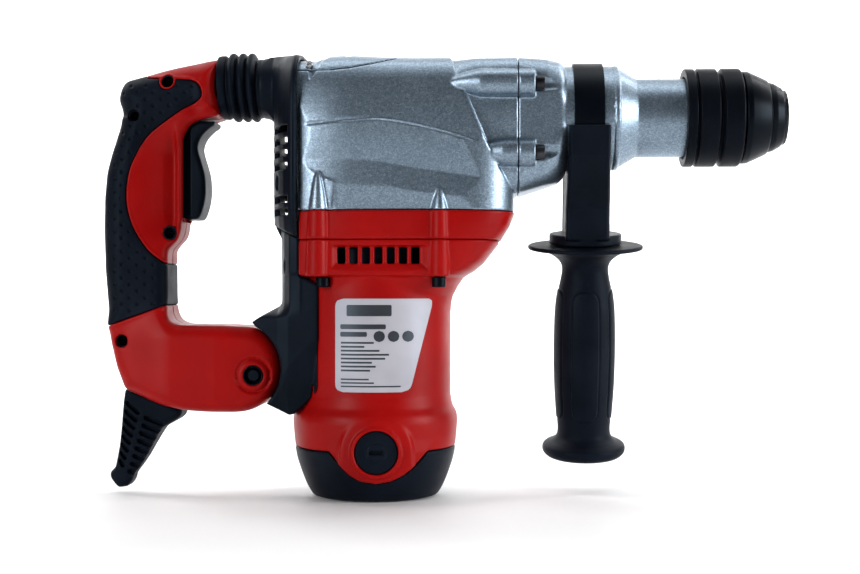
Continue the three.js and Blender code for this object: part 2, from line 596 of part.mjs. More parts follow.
function triggerOutline() {
  return [[-89.4, 207.6], [-92.5, 202.7], [-96.6, 198], [-98.2, 192], [-96, 183.6], [-94.2, 175],
    [-94, 165], [-95.6, 158], [-98.6, 152.6], [-105, 152.2], [-111, 155], [-111, 196], [-103, 205],
    [-97, 207.4]];
}

function addRearHandle() {
  const grip = plate(handleOutline(), -HANDLE_HALF, HANDLE_HALF, 6);
  const armZone = [[-118, 46.6], [-104.3, 47.1], [-92, 46.2],
    ...arc(ARM_END.x, ARM_END.z, ARM_END.r, -90, 66, 12), [-107.6, 93.6], [-118, 80]];
  const outer = grip.add(plate(armZone, -ARM_HALF, ARM_HALF, 4));
  const core = plate(inset(handleOutline(), 3.2), -HANDLE_HALF + 3, HANDLE_HALF - 3);
  const soft = outer.intersect(plate(softZone(0), -40, 40));
  const roomHalf = HANDLE_HALF - 3 + GAP;
  const rubberRoom = plate(inset(handleOutline(), 3.2 - GAP), -roomHalf, roomHalf);
  const hollow = plate(inset(handleOutline(), 6.5), -HANDLE_HALF + 6, HANDLE_HALF - 6);
  const pocketOutline = [[-80, 210.2], [-104, 209.4], [-112 - TRIGGER_TRAVEL, 200],
    [-112 - TRIGGER_TRAVEL, 151.4], [-80, 151.4]];
  const pocket = plate(pocketOutline, -12.1, 12.1);
  const throat = box(-80, -45, -10, 10, PIVOT.z - 13, PIVOT.z + 13);
  const cableHole = rod(5, 30, 70, 'z', 16, [-124, 0, 0]);
  const topMouth = rod(11, -100, -80, 'x', 24, [0, 0, 226]);
  const boltHole = rod(3.5, -40, 40, 'y', 16, [PIVOT.x, 0, PIVOT.z]);
  const headRoom = join(rod(5.8, 18.5, 40, 'y', 20, [PIVOT.x, 0, PIVOT.z]),
    rod(5.8, -40, -18.5, 'y', 20, [PIVOT.x, 0, PIVOT.z]));
  let shell = outer.subtract(plate(softZone(GAP), -40, 40)).add(core);
  shell = cut(shell, hollow, pocket, throat, cableHole, topMouth, boltHole, headRoom);
  for (const [sideName, side] of SIDES) {
    const half = side < 0 ? box(-200, 0, -60, -GAP / 2, 0, 300) : box(-200, 0, GAP / 2, 60, 0, 300);
    addMesh(`handle_shell_${sideName}`, shell.intersect(half), red);
  }
  addMesh('soft_grip', cut(soft, rubberRoom, pocket), rubber);
  addMesh('trigger', plate(triggerOutline(), -11.6, 11.6, 1.5), black);
  addMesh('switch_body', box(-136, -120.5, -9, 9, 160, 196), black);
  const heads = join(rod(5.3, -22.5, -18.8, 'y', 20), rod(5.3, 18.8, 22.5, 'y', 20));
  const bolt = rod(3.1, -21, 21, 'y', 16).add(heads);
  addMesh('pivot_bolt', shifted(bolt, PIVOT.x, 0, PIVOT.z), darkSteel);

  const boot = [[-136.6, 57.6], [-140.4, 44], [-143.2, 26.7], [-146.2, 14], [-149, 9], [-146.5, 4],
    [-141.5, 2.6], [-137, 5.5], [-134.5, 11.5], [-127.7, 21], [-121.4, 32.2], [-117, 37.2], [-110, 41.5],
    [-106.6, 48], [-114.9, 50], [-124, 53]];
  let relief = plate(boot, -10.5, 10.5, 2);
  relief = relief.subtract(outer.add(plate(inset(handleOutline(), -GAP), -16, 16, 0)));
  const lean = new THREE.Matrix4().makeRotationY(BOOT_LEAN);
  const cordBore = shifted(moved(rod(3.6, -3, 24, 'z', 12), lean), -142, 0, 3);
  addMesh('strain_relief', relief.subtract(cordBore), rubber);
}

// ---------------------------------------------------------------- bellows between handle and cover
function addBellows() {
  const rows = [];
  const crests = 3;
  const start = -85.7;
  const pitch = 6.6;
  const mid = 226.8;
  for (let crest = 0; crest < crests; crest += 1) {
    const x = start + crest * pitch;
    rows.push([x, mid - 16.8, mid + 16.8, 16.6, 2.2]);
    rows.push([x + 1.8, mid - 19.6, mid + 19.6, 19.2, 2.2]);
    rows.push([x + 4.6, mid - 19.6, mid + 19.6, 19.2, 2.2]);
  }
  rows.push([start + crests * pitch, mid - 16.8, mid + 16.8, 16.6, 2.2]);
  const outside = bodyAlongX(rows);
  addMesh('bellows', outside.subtract(rod(13, -90, -60, 'x', 24, [0, 0, mid])), rubber);
}

// ---------------------------------------------------------------- side handle
function addSideHandle() {
  const pivot = new THREE.Group();
  pivot.position.set(0, 0, BARREL_Z);
  pivot.rotation.x = SIDE_SWING;
  hammer.add(pivot);
  // Shapes below are drawn with the handle straight down, then hung from the swung group.
  const hang = (name, solid, finish) => addMesh(name, shifted(solid, 0, 0, -BARREL_Z), finish, pivot);

  hang('clamp_band', ring(29.05, 30.3, SIDE_X - 8.2, SIDE_X + 8.2, 'x', 36, onBarrel), darkSteel);
  const section = [[-34.5, 206], [-34.5, 190], [-28, 172], [-21.5, 160], [-20.2, 144], [20.2, 144],
    [21.5, 160], [28, 172], [34.5, 190], [34.5, 206]];
  let block = barAlongX(section, SIDE_X - 12.6, SIDE_X + 12.6);
  block = block.add(rod(20.2, 138.6, 144.5, 'z', 28, [SIDE_X, 0, 0]));
  block = cut(block, rod(30.7, SIDE_X - 20, SIDE_X + 20, 'x', 24, onBarrel),
    rod(9.4, 168, 180, 'z', 6, [SIDE_X, 0, 0]), rod(4.5, 130, 175, 'z', 16, [SIDE_X, 0, 0]));
  hang('clamp_block', block, black);
  const bolt = rod(9, 171, 177.6, 'z', 6, [SIDE_X, 0, 0]).add(rod(4, 58, 172, 'z', 16, [SIDE_X, 0, 0]));
  hang('clamp_bolt', bolt, darkSteel);
  const grip = turned([[0, 12.8], [20, 12.8], [23, 15.5], [23.3, 21], [20, 25.4], [15, 30.3], [16.6, 56],
    [17, 80], [16.6, 102.7], [13.1, 124.4], [14.4, 129], [18.3, 132.8], [32, 136.2], [32.2, 137.2],
    [31.4, 138.2], [0, 138.2]], 'z', 28, [SIDE_X, 0, 0]);
  hang('side_grip', grip.subtract(rod(4.4, 54, 140, 'z', 10, [SIDE_X, 0, 0])), rubber);
}

// ---------------------------------------------------------------- mode selector
function addModeSelector() {
  const at = [10, 0, 190];
  const stem = rod(6, 40, 44, 'y', 20, at);
  const disc = turned([[0, 43.4], [17, 43.4], [17.5, 45], [17, 47.5], [0, 47.5]], 'y', 24, at);
  const bar = box(-5.6, 25.6, 46, 54, 185.5, 194.5);
  addMesh('mode_selector', join(stem, disc, bar), black);
}

addGearHousing();
addFrontHousing();
addMotorHousing();
addEndCap();
addBrushGear();
addMotor();
addCrankDrive();
addHammerMechanism();
addSpindle();
addRearCover();
addRearHandle();
addBellows();
addSideHandle();
addModeSelector();

export default hammer;
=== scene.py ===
import json
import math

import bmesh
import bpy
import numpy as np
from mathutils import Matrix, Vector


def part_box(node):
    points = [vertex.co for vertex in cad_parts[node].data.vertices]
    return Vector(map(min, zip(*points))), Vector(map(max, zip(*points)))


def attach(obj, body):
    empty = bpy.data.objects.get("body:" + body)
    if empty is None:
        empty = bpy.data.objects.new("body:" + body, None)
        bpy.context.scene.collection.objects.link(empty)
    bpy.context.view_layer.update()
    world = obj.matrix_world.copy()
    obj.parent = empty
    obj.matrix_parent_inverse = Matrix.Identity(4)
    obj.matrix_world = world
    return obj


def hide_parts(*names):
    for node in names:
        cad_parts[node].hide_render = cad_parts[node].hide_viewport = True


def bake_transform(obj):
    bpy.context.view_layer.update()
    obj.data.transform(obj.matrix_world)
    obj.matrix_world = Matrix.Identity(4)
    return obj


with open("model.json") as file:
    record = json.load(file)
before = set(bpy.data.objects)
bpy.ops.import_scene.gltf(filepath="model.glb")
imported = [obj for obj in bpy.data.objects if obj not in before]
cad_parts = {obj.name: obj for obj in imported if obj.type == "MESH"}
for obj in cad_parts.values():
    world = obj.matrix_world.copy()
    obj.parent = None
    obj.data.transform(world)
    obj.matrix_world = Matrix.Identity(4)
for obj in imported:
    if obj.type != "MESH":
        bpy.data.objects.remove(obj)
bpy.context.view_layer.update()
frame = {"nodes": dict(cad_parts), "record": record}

import openvdb
from mathutils import Matrix, Vector

MM = 0.001
COARSE = 1.0

# ------------------------------------------------------------------ driving dimensions
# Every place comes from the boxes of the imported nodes, in millimetres.


def span(node):
    """Lowest and highest corner of a CAD node, in millimetres."""
    low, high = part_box(node)
    return low / MM, high / MM


BARREL_LOW, BARREL_HIGH = span("chuck_sleeve")
BARREL_Z = (BARREL_LOW.z + BARREL_HIGH.z) / 2
HANDLE_HALF = span("soft_grip")[1].y
PIVOT_LOW, PIVOT_HIGH = span("pivot_bolt")
PIVOT_X = (PIVOT_LOW.x + PIVOT_HIGH.x) / 2
PIVOT_Z = (PIVOT_LOW.z + PIVOT_HIGH.z) / 2
ARM_HALF = span("handle_shell_left")[1].y
FLANGE_LOW, FLANGE_HIGH = span("intermediate_flange")
GEAR_LOW, GEAR_HIGH = span("gear_housing")
FRONT_LOW, FRONT_HIGH = span("front_housing")
COVER_EDGE = span("rear_cover")[1].x
BAND_LOW, BAND_HIGH = span("clamp_band")
SIDE_X = (BAND_LOW.x + BAND_HIGH.x) / 2
MOTOR_R = 41.9  # motor barrel
SIDE_SWING = math.radians(8)  # the side handle hangs this far off straight down
SELECTOR_X, SELECTOR_Z = 10, 190  # shaft of the mode selector
COVER_SCREW_X, COVER_SCREW_Z = -33.5, 235.2  # screws of the top cover


# ------------------------------------------------------------------ materials
class Nodes:
    """A material whose shader sockets are fed by procedural nodes in object space."""

    def __init__(self, name):
        self.material = bpy.data.materials.new(name)
        self.material.use_nodes = True
        self.tree = self.material.node_tree
        self.shader = self.tree.nodes["Principled BSDF"]
        self.space = self.tree.nodes.new("ShaderNodeTexCoord").outputs["Object"]

    def new(self, kind, **inputs):
        node = self.tree.nodes.new(kind)
        for key, value in inputs.items():
            socket = node.inputs[key.replace("_", " ")]
            if isinstance(value, bpy.types.NodeSocket):
                self.tree.links.new(value, socket)
            else:
                socket.default_value = value
        return node

    def link(self, output, name):
        self.tree.links.new(output, self.shader.inputs[name])

    def noise(self, scale, detail=4.0, roughness=0.55):
        node = self.new("ShaderNodeTexNoise", Vector=self.space, Scale=scale, Detail=detail,
                        Roughness=roughness)
        return node.outputs["Fac"]

    def flakes(self, scale):
        """One random brightness for each small cell."""
        node = self.new("ShaderNodeTexVoronoi", Vector=self.space, Scale=scale)
        split = self.new("ShaderNodeSeparateColor", Color=node.outputs["Color"])
        return split.outputs["Red"]

    def remap(self, value, low, high, to_low, to_high):
        node = self.new("ShaderNodeMapRange", Value=value, From_Min=low, From_Max=high, To_Min=to_low,
                        To_Max=to_high)
        return node.outputs["Result"]

    def blend(self, factor, first, second):
        node = self.tree.nodes.new("ShaderNodeMix")
        node.data_type = "RGBA"
        self.tree.links.new(factor, node.inputs["Factor"])
        for socket, value in ((node.inputs[6], first), (node.inputs[7], second)):
            if isinstance(value, bpy.types.NodeSocket):
                self.tree.links.new(value, socket)
            else:
                socket.default_value = (*value, 1.0)
        return node.outputs[2]

    def maths(self, operation, first, second):
        node = self.tree.nodes.new("ShaderNodeMath")
        node.operation = operation
        for socket, value in zip(node.inputs, (first, second)):
            if isinstance(value, bpy.types.NodeSocket):
                self.tree.links.new(value, socket)
            else:
                socket.default_value = value
        return node.outputs[0]

    def bump(self, height, strength, distance, under=None):
        node = self.new("ShaderNodeBump", Height=height, Strength=strength, Distance=distance)
        if under is not None:
            self.tree.links.new(under, node.inputs["Normal"])
        return node.outputs["Normal"]

    def set(self, **values):
        for key, value in values.items():
            self.shader.inputs[key.replace("_", " ")].default_value = value


def plastic(name, dark, light, rough_low, rough_high, grain_scale, grain, coat=0.0, wear=None,
            gloss=0.5, tint=(0.6, 0.8, 1.0, 1.0)):
    """Moulded plastic or rubber: clouded colour, spark-eroded grain and uneven gloss."""
    m = Nodes(name)
    cloud = m.remap(m.noise(26, 3), 0.35, 0.65, 0, 1)
    colour = m.blend(cloud, dark, light)
    if wear is not None:
        scuffs = m.remap(m.noise(95, 8, 0.7), 0.66, 0.8, 0, 0.35)
        colour = m.blend(scuffs, colour, wear)
    m.link(colour, "Base Color")
    m.link(m.remap(m.noise(60, 5), 0.3, 0.7, rough_low, rough_high), "Roughness")
    fine = m.bump(m.noise(grain_scale, 2), 0.35, grain)
    wide = m.bump(m.noise(140, 2), 0.12, 0.00025, fine)
    m.link(wide, "Normal")
    m.set(Coat_Weight=coat, Coat_Roughness=0.18, Specular_IOR_Level=gloss, Specular_Tint=tint)
    return m.material


def metal_paint(name, dark, light):
    """Silver paint: flakes of uneven brightness over a cast surface."""
    m = Nodes(name)
    fine = m.remap(m.flakes(2400), 0, 1, 0.15, 0.85)
    broad = m.remap(m.noise(800, 2), 0.35, 0.65, 0.5, 1.0)
    speckle = m.maths("MULTIPLY", fine, broad)
    cloud = m.remap(m.noise(18, 4), 0.3, 0.7, 0, 0.25)
    mid = tuple(0.7 * a + 0.3 * b for a, b in zip(dark, light))
    m.link(m.blend(cloud, m.blend(speckle, dark, light), mid), "Base Color")
    m.link(m.remap(m.noise(700, 3), 0.3, 0.7, 0.34, 0.44), "Roughness")
    cast = m.bump(m.noise(900, 3, 0.55), 0.18, 0.00008)
    m.link(m.bump(fine, 0.1, 0.00003, cast), "Normal")
    m.set(Metallic=0.9, Coat_Weight=0.06, Coat_Roughness=0.35)
    return m.material


def bare_metal(name, dark, light, rough_low, rough_high, scratch_scale=260):
    """Turned or ground metal with fine scratches and stains."""
    m = Nodes(name)
    stains = m.remap(m.noise(70, 6, 0.6), 0.35, 0.7, 0, 1)
    m.link(m.blend(stains, light, dark), "Base Color")
    scratches = m.noise(scratch_scale, 8, 0.75)
    m.link(m.remap(scratches, 0.3, 0.7, rough_low, rough_high), "Roughness")
    m.link(m.bump(scratches, 0.15, 0.00006), "Normal")
    m.set(Metallic=1.0)
    return m.material


RED = plastic("red_nylon", (0.26, 0.0018, 0.0018), (0.32, 0.0029, 0.0026), 0.34, 0.46, 1500, 0.00005,
              gloss=0.12, tint=(1.0, 0.8, 0.8, 1.0))
BLACK = plastic("black_nylon", (0.0016, 0.0027, 0.0055), (0.0042, 0.0062, 0.0115), 0.38, 0.5,
                1900, 0.00012, wear=(0.014, 0.018, 0.026), gloss=0.09)
RUBBER = plastic("dark_rubber", (0.0014, 0.0024, 0.0055), (0.0036, 0.0052, 0.0100), 0.46, 0.6, 2400, 0.0001,
                 wear=(0.014, 0.018, 0.025), gloss=0.08)
GLOSSY = plastic("glossy_black", (0.0006, 0.0010, 0.0020), (0.0014, 0.0020, 0.0038), 0.30, 0.42,
                 1200, 0.00004, gloss=0.09)
SLEEVE = plastic("sleeve_black", (0.0010, 0.0016, 0.0030), (0.0026, 0.0034, 0.0056), 0.36, 0.48, 1700,
                 0.00008, gloss=0.07)
SILVER = metal_paint("silver_paint", (0.10, 0.15, 0.205), (0.43, 0.53, 0.63))
PLATE = plastic("plate_print", (0.37, 0.36, 0.40), (0.45, 0.44, 0.48), 0.34, 0.5, 1500, 0.00003)
INK = plastic("plate_ink", (0.02, 0.02, 0.022), (0.035, 0.035, 0.04), 0.35, 0.5, 1500, 0.00003)
STEEL = bare_metal("ground_steel", (0.30, 0.31, 0.33), (0.58, 0.59, 0.61), 0.2, 0.42)
DARK_STEEL = bare_metal("black_steel", (0.02, 0.02, 0.024), (0.06, 0.06, 0.066), 0.3, 0.5)
COPPER = bare_metal("copper", (0.30, 0.12, 0.05), (0.62, 0.30, 0.14), 0.25, 0.45)
CARBON = plastic("carbon", (0.01, 0.01, 0.01), (0.03, 0.03, 0.03), 0.5, 0.7, 1500, 0.0001)

SLOT_MATERIALS = {
    "silver_housing": SILVER, "red_housing": RED, "black_cover": BLACK, "soft_rubber": RUBBER,
    "chuck_black": SLEEVE, "steel": STEEL, "dark_steel": DARK_STEEL, "copper": COPPER,
    "carbon": CARBON, "label": PLATE,
}


# ------------------------------------------------------------------ outlines
def curve(points, steps=5, closed=True):
    """A smooth line through chosen points (Catmull-Rom), in as many dimensions as they have."""
    count = len(points)
    spots = [np.array(point, float) for point in points]
    out = []
    for i in range(count if closed else count - 1):
        numbers = [i - 1, i, i + 1, i + 2]
        if closed:
            before, start, end, after = (spots[k % count] for k in numbers)
        else:
            before, start, end, after = (spots[min(max(k, 0), count - 1)] for k in numbers)
        for t in np.arange(steps) / steps:
            bend = 2 * before - 5 * start + 4 * end - after
            swing = 3 * start - before - 3 * end + after
            out.append((2 * start + (end - before) * t + bend * t * t + swing * t ** 3) / 2)
    if not closed:
        out.append(spots[-1])
    return [tuple(point) for point in out]


def eased(points, reach, steps=3):
    """An outline with each corner rounded; corners on a turning axis (first number 0) stay."""
    out = []
    for i, point in enumerate(points):
        corner = np.array(point, float)
        back = np.array(points[i - 1], float) - corner
        ahead = np.array(points[(i + 1) % len(points)], float) - corner
        if abs(corner[0]) < 1e-9:
            out.append(tuple(corner))
            continue
        back_length, ahead_length = np.linalg.norm(back), np.linalg.norm(ahead)
        r = min(reach, 0.45 * back_length, 0.45 * ahead_length)
        start, end = corner + back / back_length * r, corner + ahead / ahead_length * r
        for t in np.arange(steps + 1) / steps:
            out.append(tuple((1 - t) ** 2 * start + 2 * t * (1 - t) * corner + t * t * end))
    return out


def arc(x, z, r, start, end, steps=12):
    """Points of an arc, both ends included, angles in degrees."""
    angles = np.radians(np.linspace(start, end, steps + 1))
    return [(x + r * math.cos(a), z + r * math.sin(a)) for a in angles]


def height_at(points, x):
    """Height of a smooth line through points, at places x."""
    line = np.array(curve(points, 6, closed=False))
    return np.interp(x, line[:, 0], line[:, 1]).astype(np.float32)


# ------------------------------------------------------------------ distance fields
class Field:
    """A box of space sampled on a grid, in which a solid is drawn as signed distances."""

    def __init__(self, low, high, voxel):
        self.voxel = voxel * COARSE
        self.low = np.array(low, float) - 3 * self.voxel
        reach = np.array(high, float) + 3 * self.voxel - self.low
        counts = np.ceil(reach / self.voxel).astype(int) + 1
        axes = [self.low[k] + self.voxel * np.arange(counts[k]) for k in range(3)]
        self.x = axes[0][:, None, None].astype(np.float32)
        self.y = axes[1][None, :, None].astype(np.float32)
        self.z = axes[2][None, None, :].astype(np.float32)

    def flat(self, points, plane="xz"):
        """Signed distance to a closed outline in one plane, the same all along the third axis."""
        a, b = {"xz": (self.x, self.z), "yz": (self.y, self.z)}[plane]
        shape = np.broadcast_shapes(a.shape, b.shape)
        a, b = np.broadcast_to(a, shape), np.broadcast_to(b, shape)
        best = np.full(shape, 1e9, np.float32)
        inside = np.zeros(shape, bool)
        corners = list(points)
        for (x0, z0), (x1, z1) in zip(corners, corners[1:] + corners[:1]):
            along_a, along_b = x1 - x0, z1 - z0
            square = along_a * along_a + along_b * along_b
            if square < 1e-12:
                continue
            t = np.clip(((a - x0) * along_a + (b - z0) * along_b) / square, 0, 1)
            best = np.minimum(best, (a - x0 - t * along_a) ** 2 + (b - z0 - t * along_b) ** 2)
            if z0 != z1:
                crosses = (z0 > b) != (z1 > b)
                inside ^= crosses & (a < along_a * (b - z0) / along_b + x0)
        return (np.where(inside, -1, 1) * np.sqrt(best)).astype(np.float32)

    def tube(self, axis, centre, r):
        """Endless round bar along an axis; centre is its place on the other two axes, in order."""
        others = {"x": (self.y, self.z), "y": (self.x, self.z), "z": (self.x, self.y)}[axis]
        return np.hypot(others[0] - centre[0], others[1] - centre[1]) - r

    def rod(self, axis, centre, r, start, end, rim=0.0):
        """Round bar along an axis between two places, with rounded ends."""
        along = {"x": self.x, "y": self.y, "z": self.z}[axis]
        ends = np.abs(along - (start + end) / 2) - (end - start) / 2
        return rounded(self.tube(axis, centre, r), ends, rim)

    def box(self, low, high, rim=0.0):
        """Block between two corners, with rounded edges."""
        sides = [np.abs(c - (a + b) / 2) - (b - a) / 2
                 for c, a, b in zip((self.x, self.y, self.z), low, high)]
        return rounded(rounded(sides[0], sides[1], rim), sides[2], rim)

    def swept(self, axis, rows, steps=1):
        """Bar along X or Z with super-ellipse sections: (place, low, high, half width, power)."""
        table = np.array(curve(rows, steps, closed=False) if steps > 1 else rows, float)
        along, other = (self.x, self.z) if axis == "x" else (self.z, self.x)
        low, high, half, power = (np.interp(along, table[:, 0], table[:, k]).astype(np.float32)
                                  for k in (1, 2, 3, 4))
        reach = (high - low) / 2
        first = (np.abs(other - (low + high) / 2) / reach) ** power
        second = (np.abs(self.y) / half) ** power
        return ((first + second) ** (1 / power) - 1) * np.minimum(reach, half)

    def segment(self, start, end, r):
        """Round-ended bar between two points."""
        first, reach = np.array(start, float), np.array(end, float) - np.array(start, float)
        offset = (self.x - first[0], self.y - first[1], self.z - first[2])
        t = np.clip(sum(o * d for o, d in zip(offset, reach)) / float(reach @ reach), 0, 1)
        return np.sqrt(sum((o - t * d) ** 2 for o, d in zip(offset, reach))) - r

    def stripe(self, start, end, r):
        """Round-ended bar in X and Z, endless along Y."""
        across, up = end[0] - start[0], end[1] - start[1]
        t = ((self.x - start[0]) * across + (self.z - start[1]) * up) / (across ** 2 + up ** 2)
        t = np.clip(t, 0, 1)
        return np.hypot(self.x - start[0] - t * across, self.z - start[1] - t * up) - r

    def bullet(self, axis, centre, r, tip, shoulder, power=0.55):
        """Round bar that ends in a point at tip and has its full radius from shoulder on."""
        along = {"x": self.x, "y": self.y, "z": self.z}[axis]
        grown = np.clip((along - tip) / (shoulder - tip), 0, 1) ** power
        return self.tube(axis, centre, 0) - r * grown + np.where(grown > 0, 0, 1)


def rounded(first, second, rim):
    """Where two distances meet in an outer corner of radius rim."""
    return rounded_by(first, second, rim) if rim > 0 else np.maximum(first, second)


def rounded_by(first, second, rim):
    """As rounded(), with a rim that differs from place to place."""
    a, b = first + rim, second + rim
    return np.hypot(np.maximum(a, 0), np.maximum(b, 0)) + np.minimum(np.maximum(a, b), 0) - rim


def join(first, second, soft=0.0):
    """Both solids as one, with a fillet of about soft where they meet."""
    if soft <= 0:
        return np.minimum(first, second)
    h = np.clip(0.5 + 0.5 * (second - first) / soft, 0, 1)
    return second + (first - second) * h - soft * h * (1 - h)


def cut(first, second, soft=0.0):
    """first without second."""
    return -join(-first, second, soft)


def smooth_step(value, low, high):
    """0 below low, 1 above high, and an even rise between them."""
    t = np.clip((value - low) / (high - low), 0, 1)
    return t * t * (3 - 2 * t)


# ------------------------------------------------------------------ meshes
def mesh_object(name, mesh, material):
    """Puts a finished mesh in the scene with its material."""
    mesh.materials.append(material)
    piece = bpy.data.objects.new(name, mesh)
    bpy.context.scene.collection.objects.link(piece)
    return piece


def solid_piece(name, field, distance, material):
    """Meshes the zero surface of a distance field."""
    band = 3 * field.voxel
    grid = openvdb.FloatGrid(background=band)
    shape = (field.x.size, field.y.size, field.z.size)
    values = np.clip(np.broadcast_to(distance, shape), -band, band).astype(np.float32)
    grid.copyFromArray(np.ascontiguousarray(values))
    points, quads = grid.convertToQuads(isovalue=0.0)
    points = (points * field.voxel + field.low) * MM
    mesh = bpy.data.meshes.new(name)
    mesh.vertices.add(len(points))
    mesh.vertices.foreach_set("co", points.astype(np.float32).ravel())
    mesh.loops.add(quads.size)
    mesh.loops.foreach_set("vertex_index", quads.astype(np.int32).ravel())
    mesh.polygons.add(len(quads))
    mesh.polygons.foreach_set("loop_start", np.arange(0, quads.size, 4, dtype=np.int32))
    mesh.update(calc_edges=True)
    mesh.validate()
    mesh.shade_smooth()
    return mesh_object(name, mesh, material)


def turned_piece(name, profile, axis, at, material, segments=96, sharp=38):
    """A turned piece from a closed profile of (radius, place along the axis)."""
    segments = int(segments / COARSE)
    made = bmesh.new()
    rings = []
    for r, h in profile:
        count = 1 if r < 1e-9 else segments
        ring = []
        for k in range(count):
            angle = 2 * math.pi * k / segments
            a, b = r * math.cos(angle), r * math.sin(angle)
            spot = {"x": (h, a, b), "y": (a, h, b), "z": (a, b, h)}[axis]
            ring.append(made.verts.new([(s + c) * MM for s, c in zip(spot, at)]))
        rings.append(ring)
    for near, far in zip(rings, rings[1:] + rings[:1]):
        if len(near) == 1 and len(far) == 1:
            continue
        for k in range(segments):
            corners = [near[k % len(near)], near[(k + 1) % len(near)],
                       far[(k + 1) % len(far)], far[k % len(far)]]
            made.faces.new(list(dict.fromkeys(corners)))
    bmesh.ops.recalc_face_normals(made, faces=made.faces)
    mesh = bpy.data.meshes.new(name)
    made.to_mesh(mesh)
    made.free()
    mesh.shade_smooth()
    mesh.set_sharp_from_angle(angle=math.radians(sharp))
    return mesh_object(name, mesh, material)


def listed_piece(name, vertices, faces, material, sharp):
    """A piece from lists of corners and faces; edges over sharp degrees stay hard."""
    mesh = bpy.data.meshes.new(name)
    mesh.from_pydata(vertices, [], faces)
    made = bmesh.new()
    made.from_mesh(mesh)
    bmesh.ops.recalc_face_normals(made, faces=made.faces)
    made.to_mesh(mesh)
    made.free()
    mesh.shade_smooth()
    mesh.set_sharp_from_angle(angle=math.radians(sharp))
    return mesh_object(name, mesh, material)


def settle(piece, body, slot, *nodes):
    """Rides a finished piece on its body and hides the CAD nodes that it stands for."""
    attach(piece, body)
    if nodes:
        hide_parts(*nodes)
    return piece


# ------------------------------------------------------------------ gear housing and its cover
SEAM = 0.3  # air between two pieces
BODY_REAR = GEAR_LOW.x
BODY_FRONT = GEAR_HIGH.x
FLANGE_TOP = FLANGE_HIGH.z
BOSS_Y = 32.4
BOSS_R = 7.5
BOSSES = [(224, 41), (187, 53)]  # height of each screw boss and where its point starts
# Styling ridges on the side walls, (X, Z)
RIDGE_HIGH = [(-34.6, 201.8), (-15.6, 203.7), (3.4, 204), (22.4, 201.3), (41.3, 196.6), (57.5, 191.4)]
RIDGE_MID = [(-36.3, 182.3), (-15.5, 182.7), (3.5, 181.8), (22.4, 178.5), (41.4, 175.6), (60.3, 172.8)]
RIDGE_LOW = [(-38, 170), (3.5, 169), (22.4, 166.2), (41.4, 163.8), (60.3, 162.4)]
PILLAR_TOP = [(-38, 183), (-29.7, 176.6), (-20.2, 172.3)]
LID_ZONE = [(-60, 231.7), (-22, 231.7), (-12, 232.7), (0, 235.3), (13, 239), (16, 262), (-60, 262)]
# Plan of the body: (height, rear end, front end, half width, corner power)
PLAN = [(140, -48, 69.5, 43.5, 4), (149, -48, 75, 43.5, 4), (155.6, -48, 77.6, 43.2, 4),
        (166, -48, 78, 43.2, 4), (260, -48, 80, 44, 4)]


def housing_relief(f):
    """How far the side walls lie under the widest outline, between their styling ridges."""
    high, mid, low = (height_at(line, f.x) for line in (RIDGE_HIGH, RIDGE_MID, RIDGE_LOW))
    ledge = 1.6 * smooth_step(f.x, -26, 22)
    relief = ledge * smooth_step(f.z - high, -0.2, 0.8)
    relief = relief + 2.4 * np.clip((high - f.z) / (high - mid), 0, 1)
    relief = relief - 2.1 * np.clip((mid - f.z) / (mid - low), 0, 1)
    relief = relief + 1.5 * np.clip((low - f.z) / (low - 155), 0, 1)
    groove = (1 - smooth_step(f.x, -8, 8)) * smooth_step(f.x, -38, -33)
    relief = relief + 1.0 * groove * np.clip(1 - np.abs(f.z - high) / 1.3, 0, 1)
    pillar = smooth_step(-f.x, 16.5, 20.5) * smooth_step(height_at(PILLAR_TOP, f.x) - f.z, 0, 1.2)
    relief = relief * (1 - pillar)
    slant = ((f.z - 216) - (f.x + 38) * 1.72) / 1.99
    relief = relief + 1.5 * smooth_step(slant, 0, 2.2) * smooth_step(f.z, 206, 214)
    relief = relief - 0.9 * np.clip(1 - np.abs(slant - 2.8) / 1.6, 0, 1) * (f.z > 231.8)
    rear = np.clip((-10 - f.x) / 28, 0, 1)
    front = np.clip((f.x - 58) / 20, 0, 1)
    return relief + 3.0 * rear ** 2 + 2.5 * front ** 2


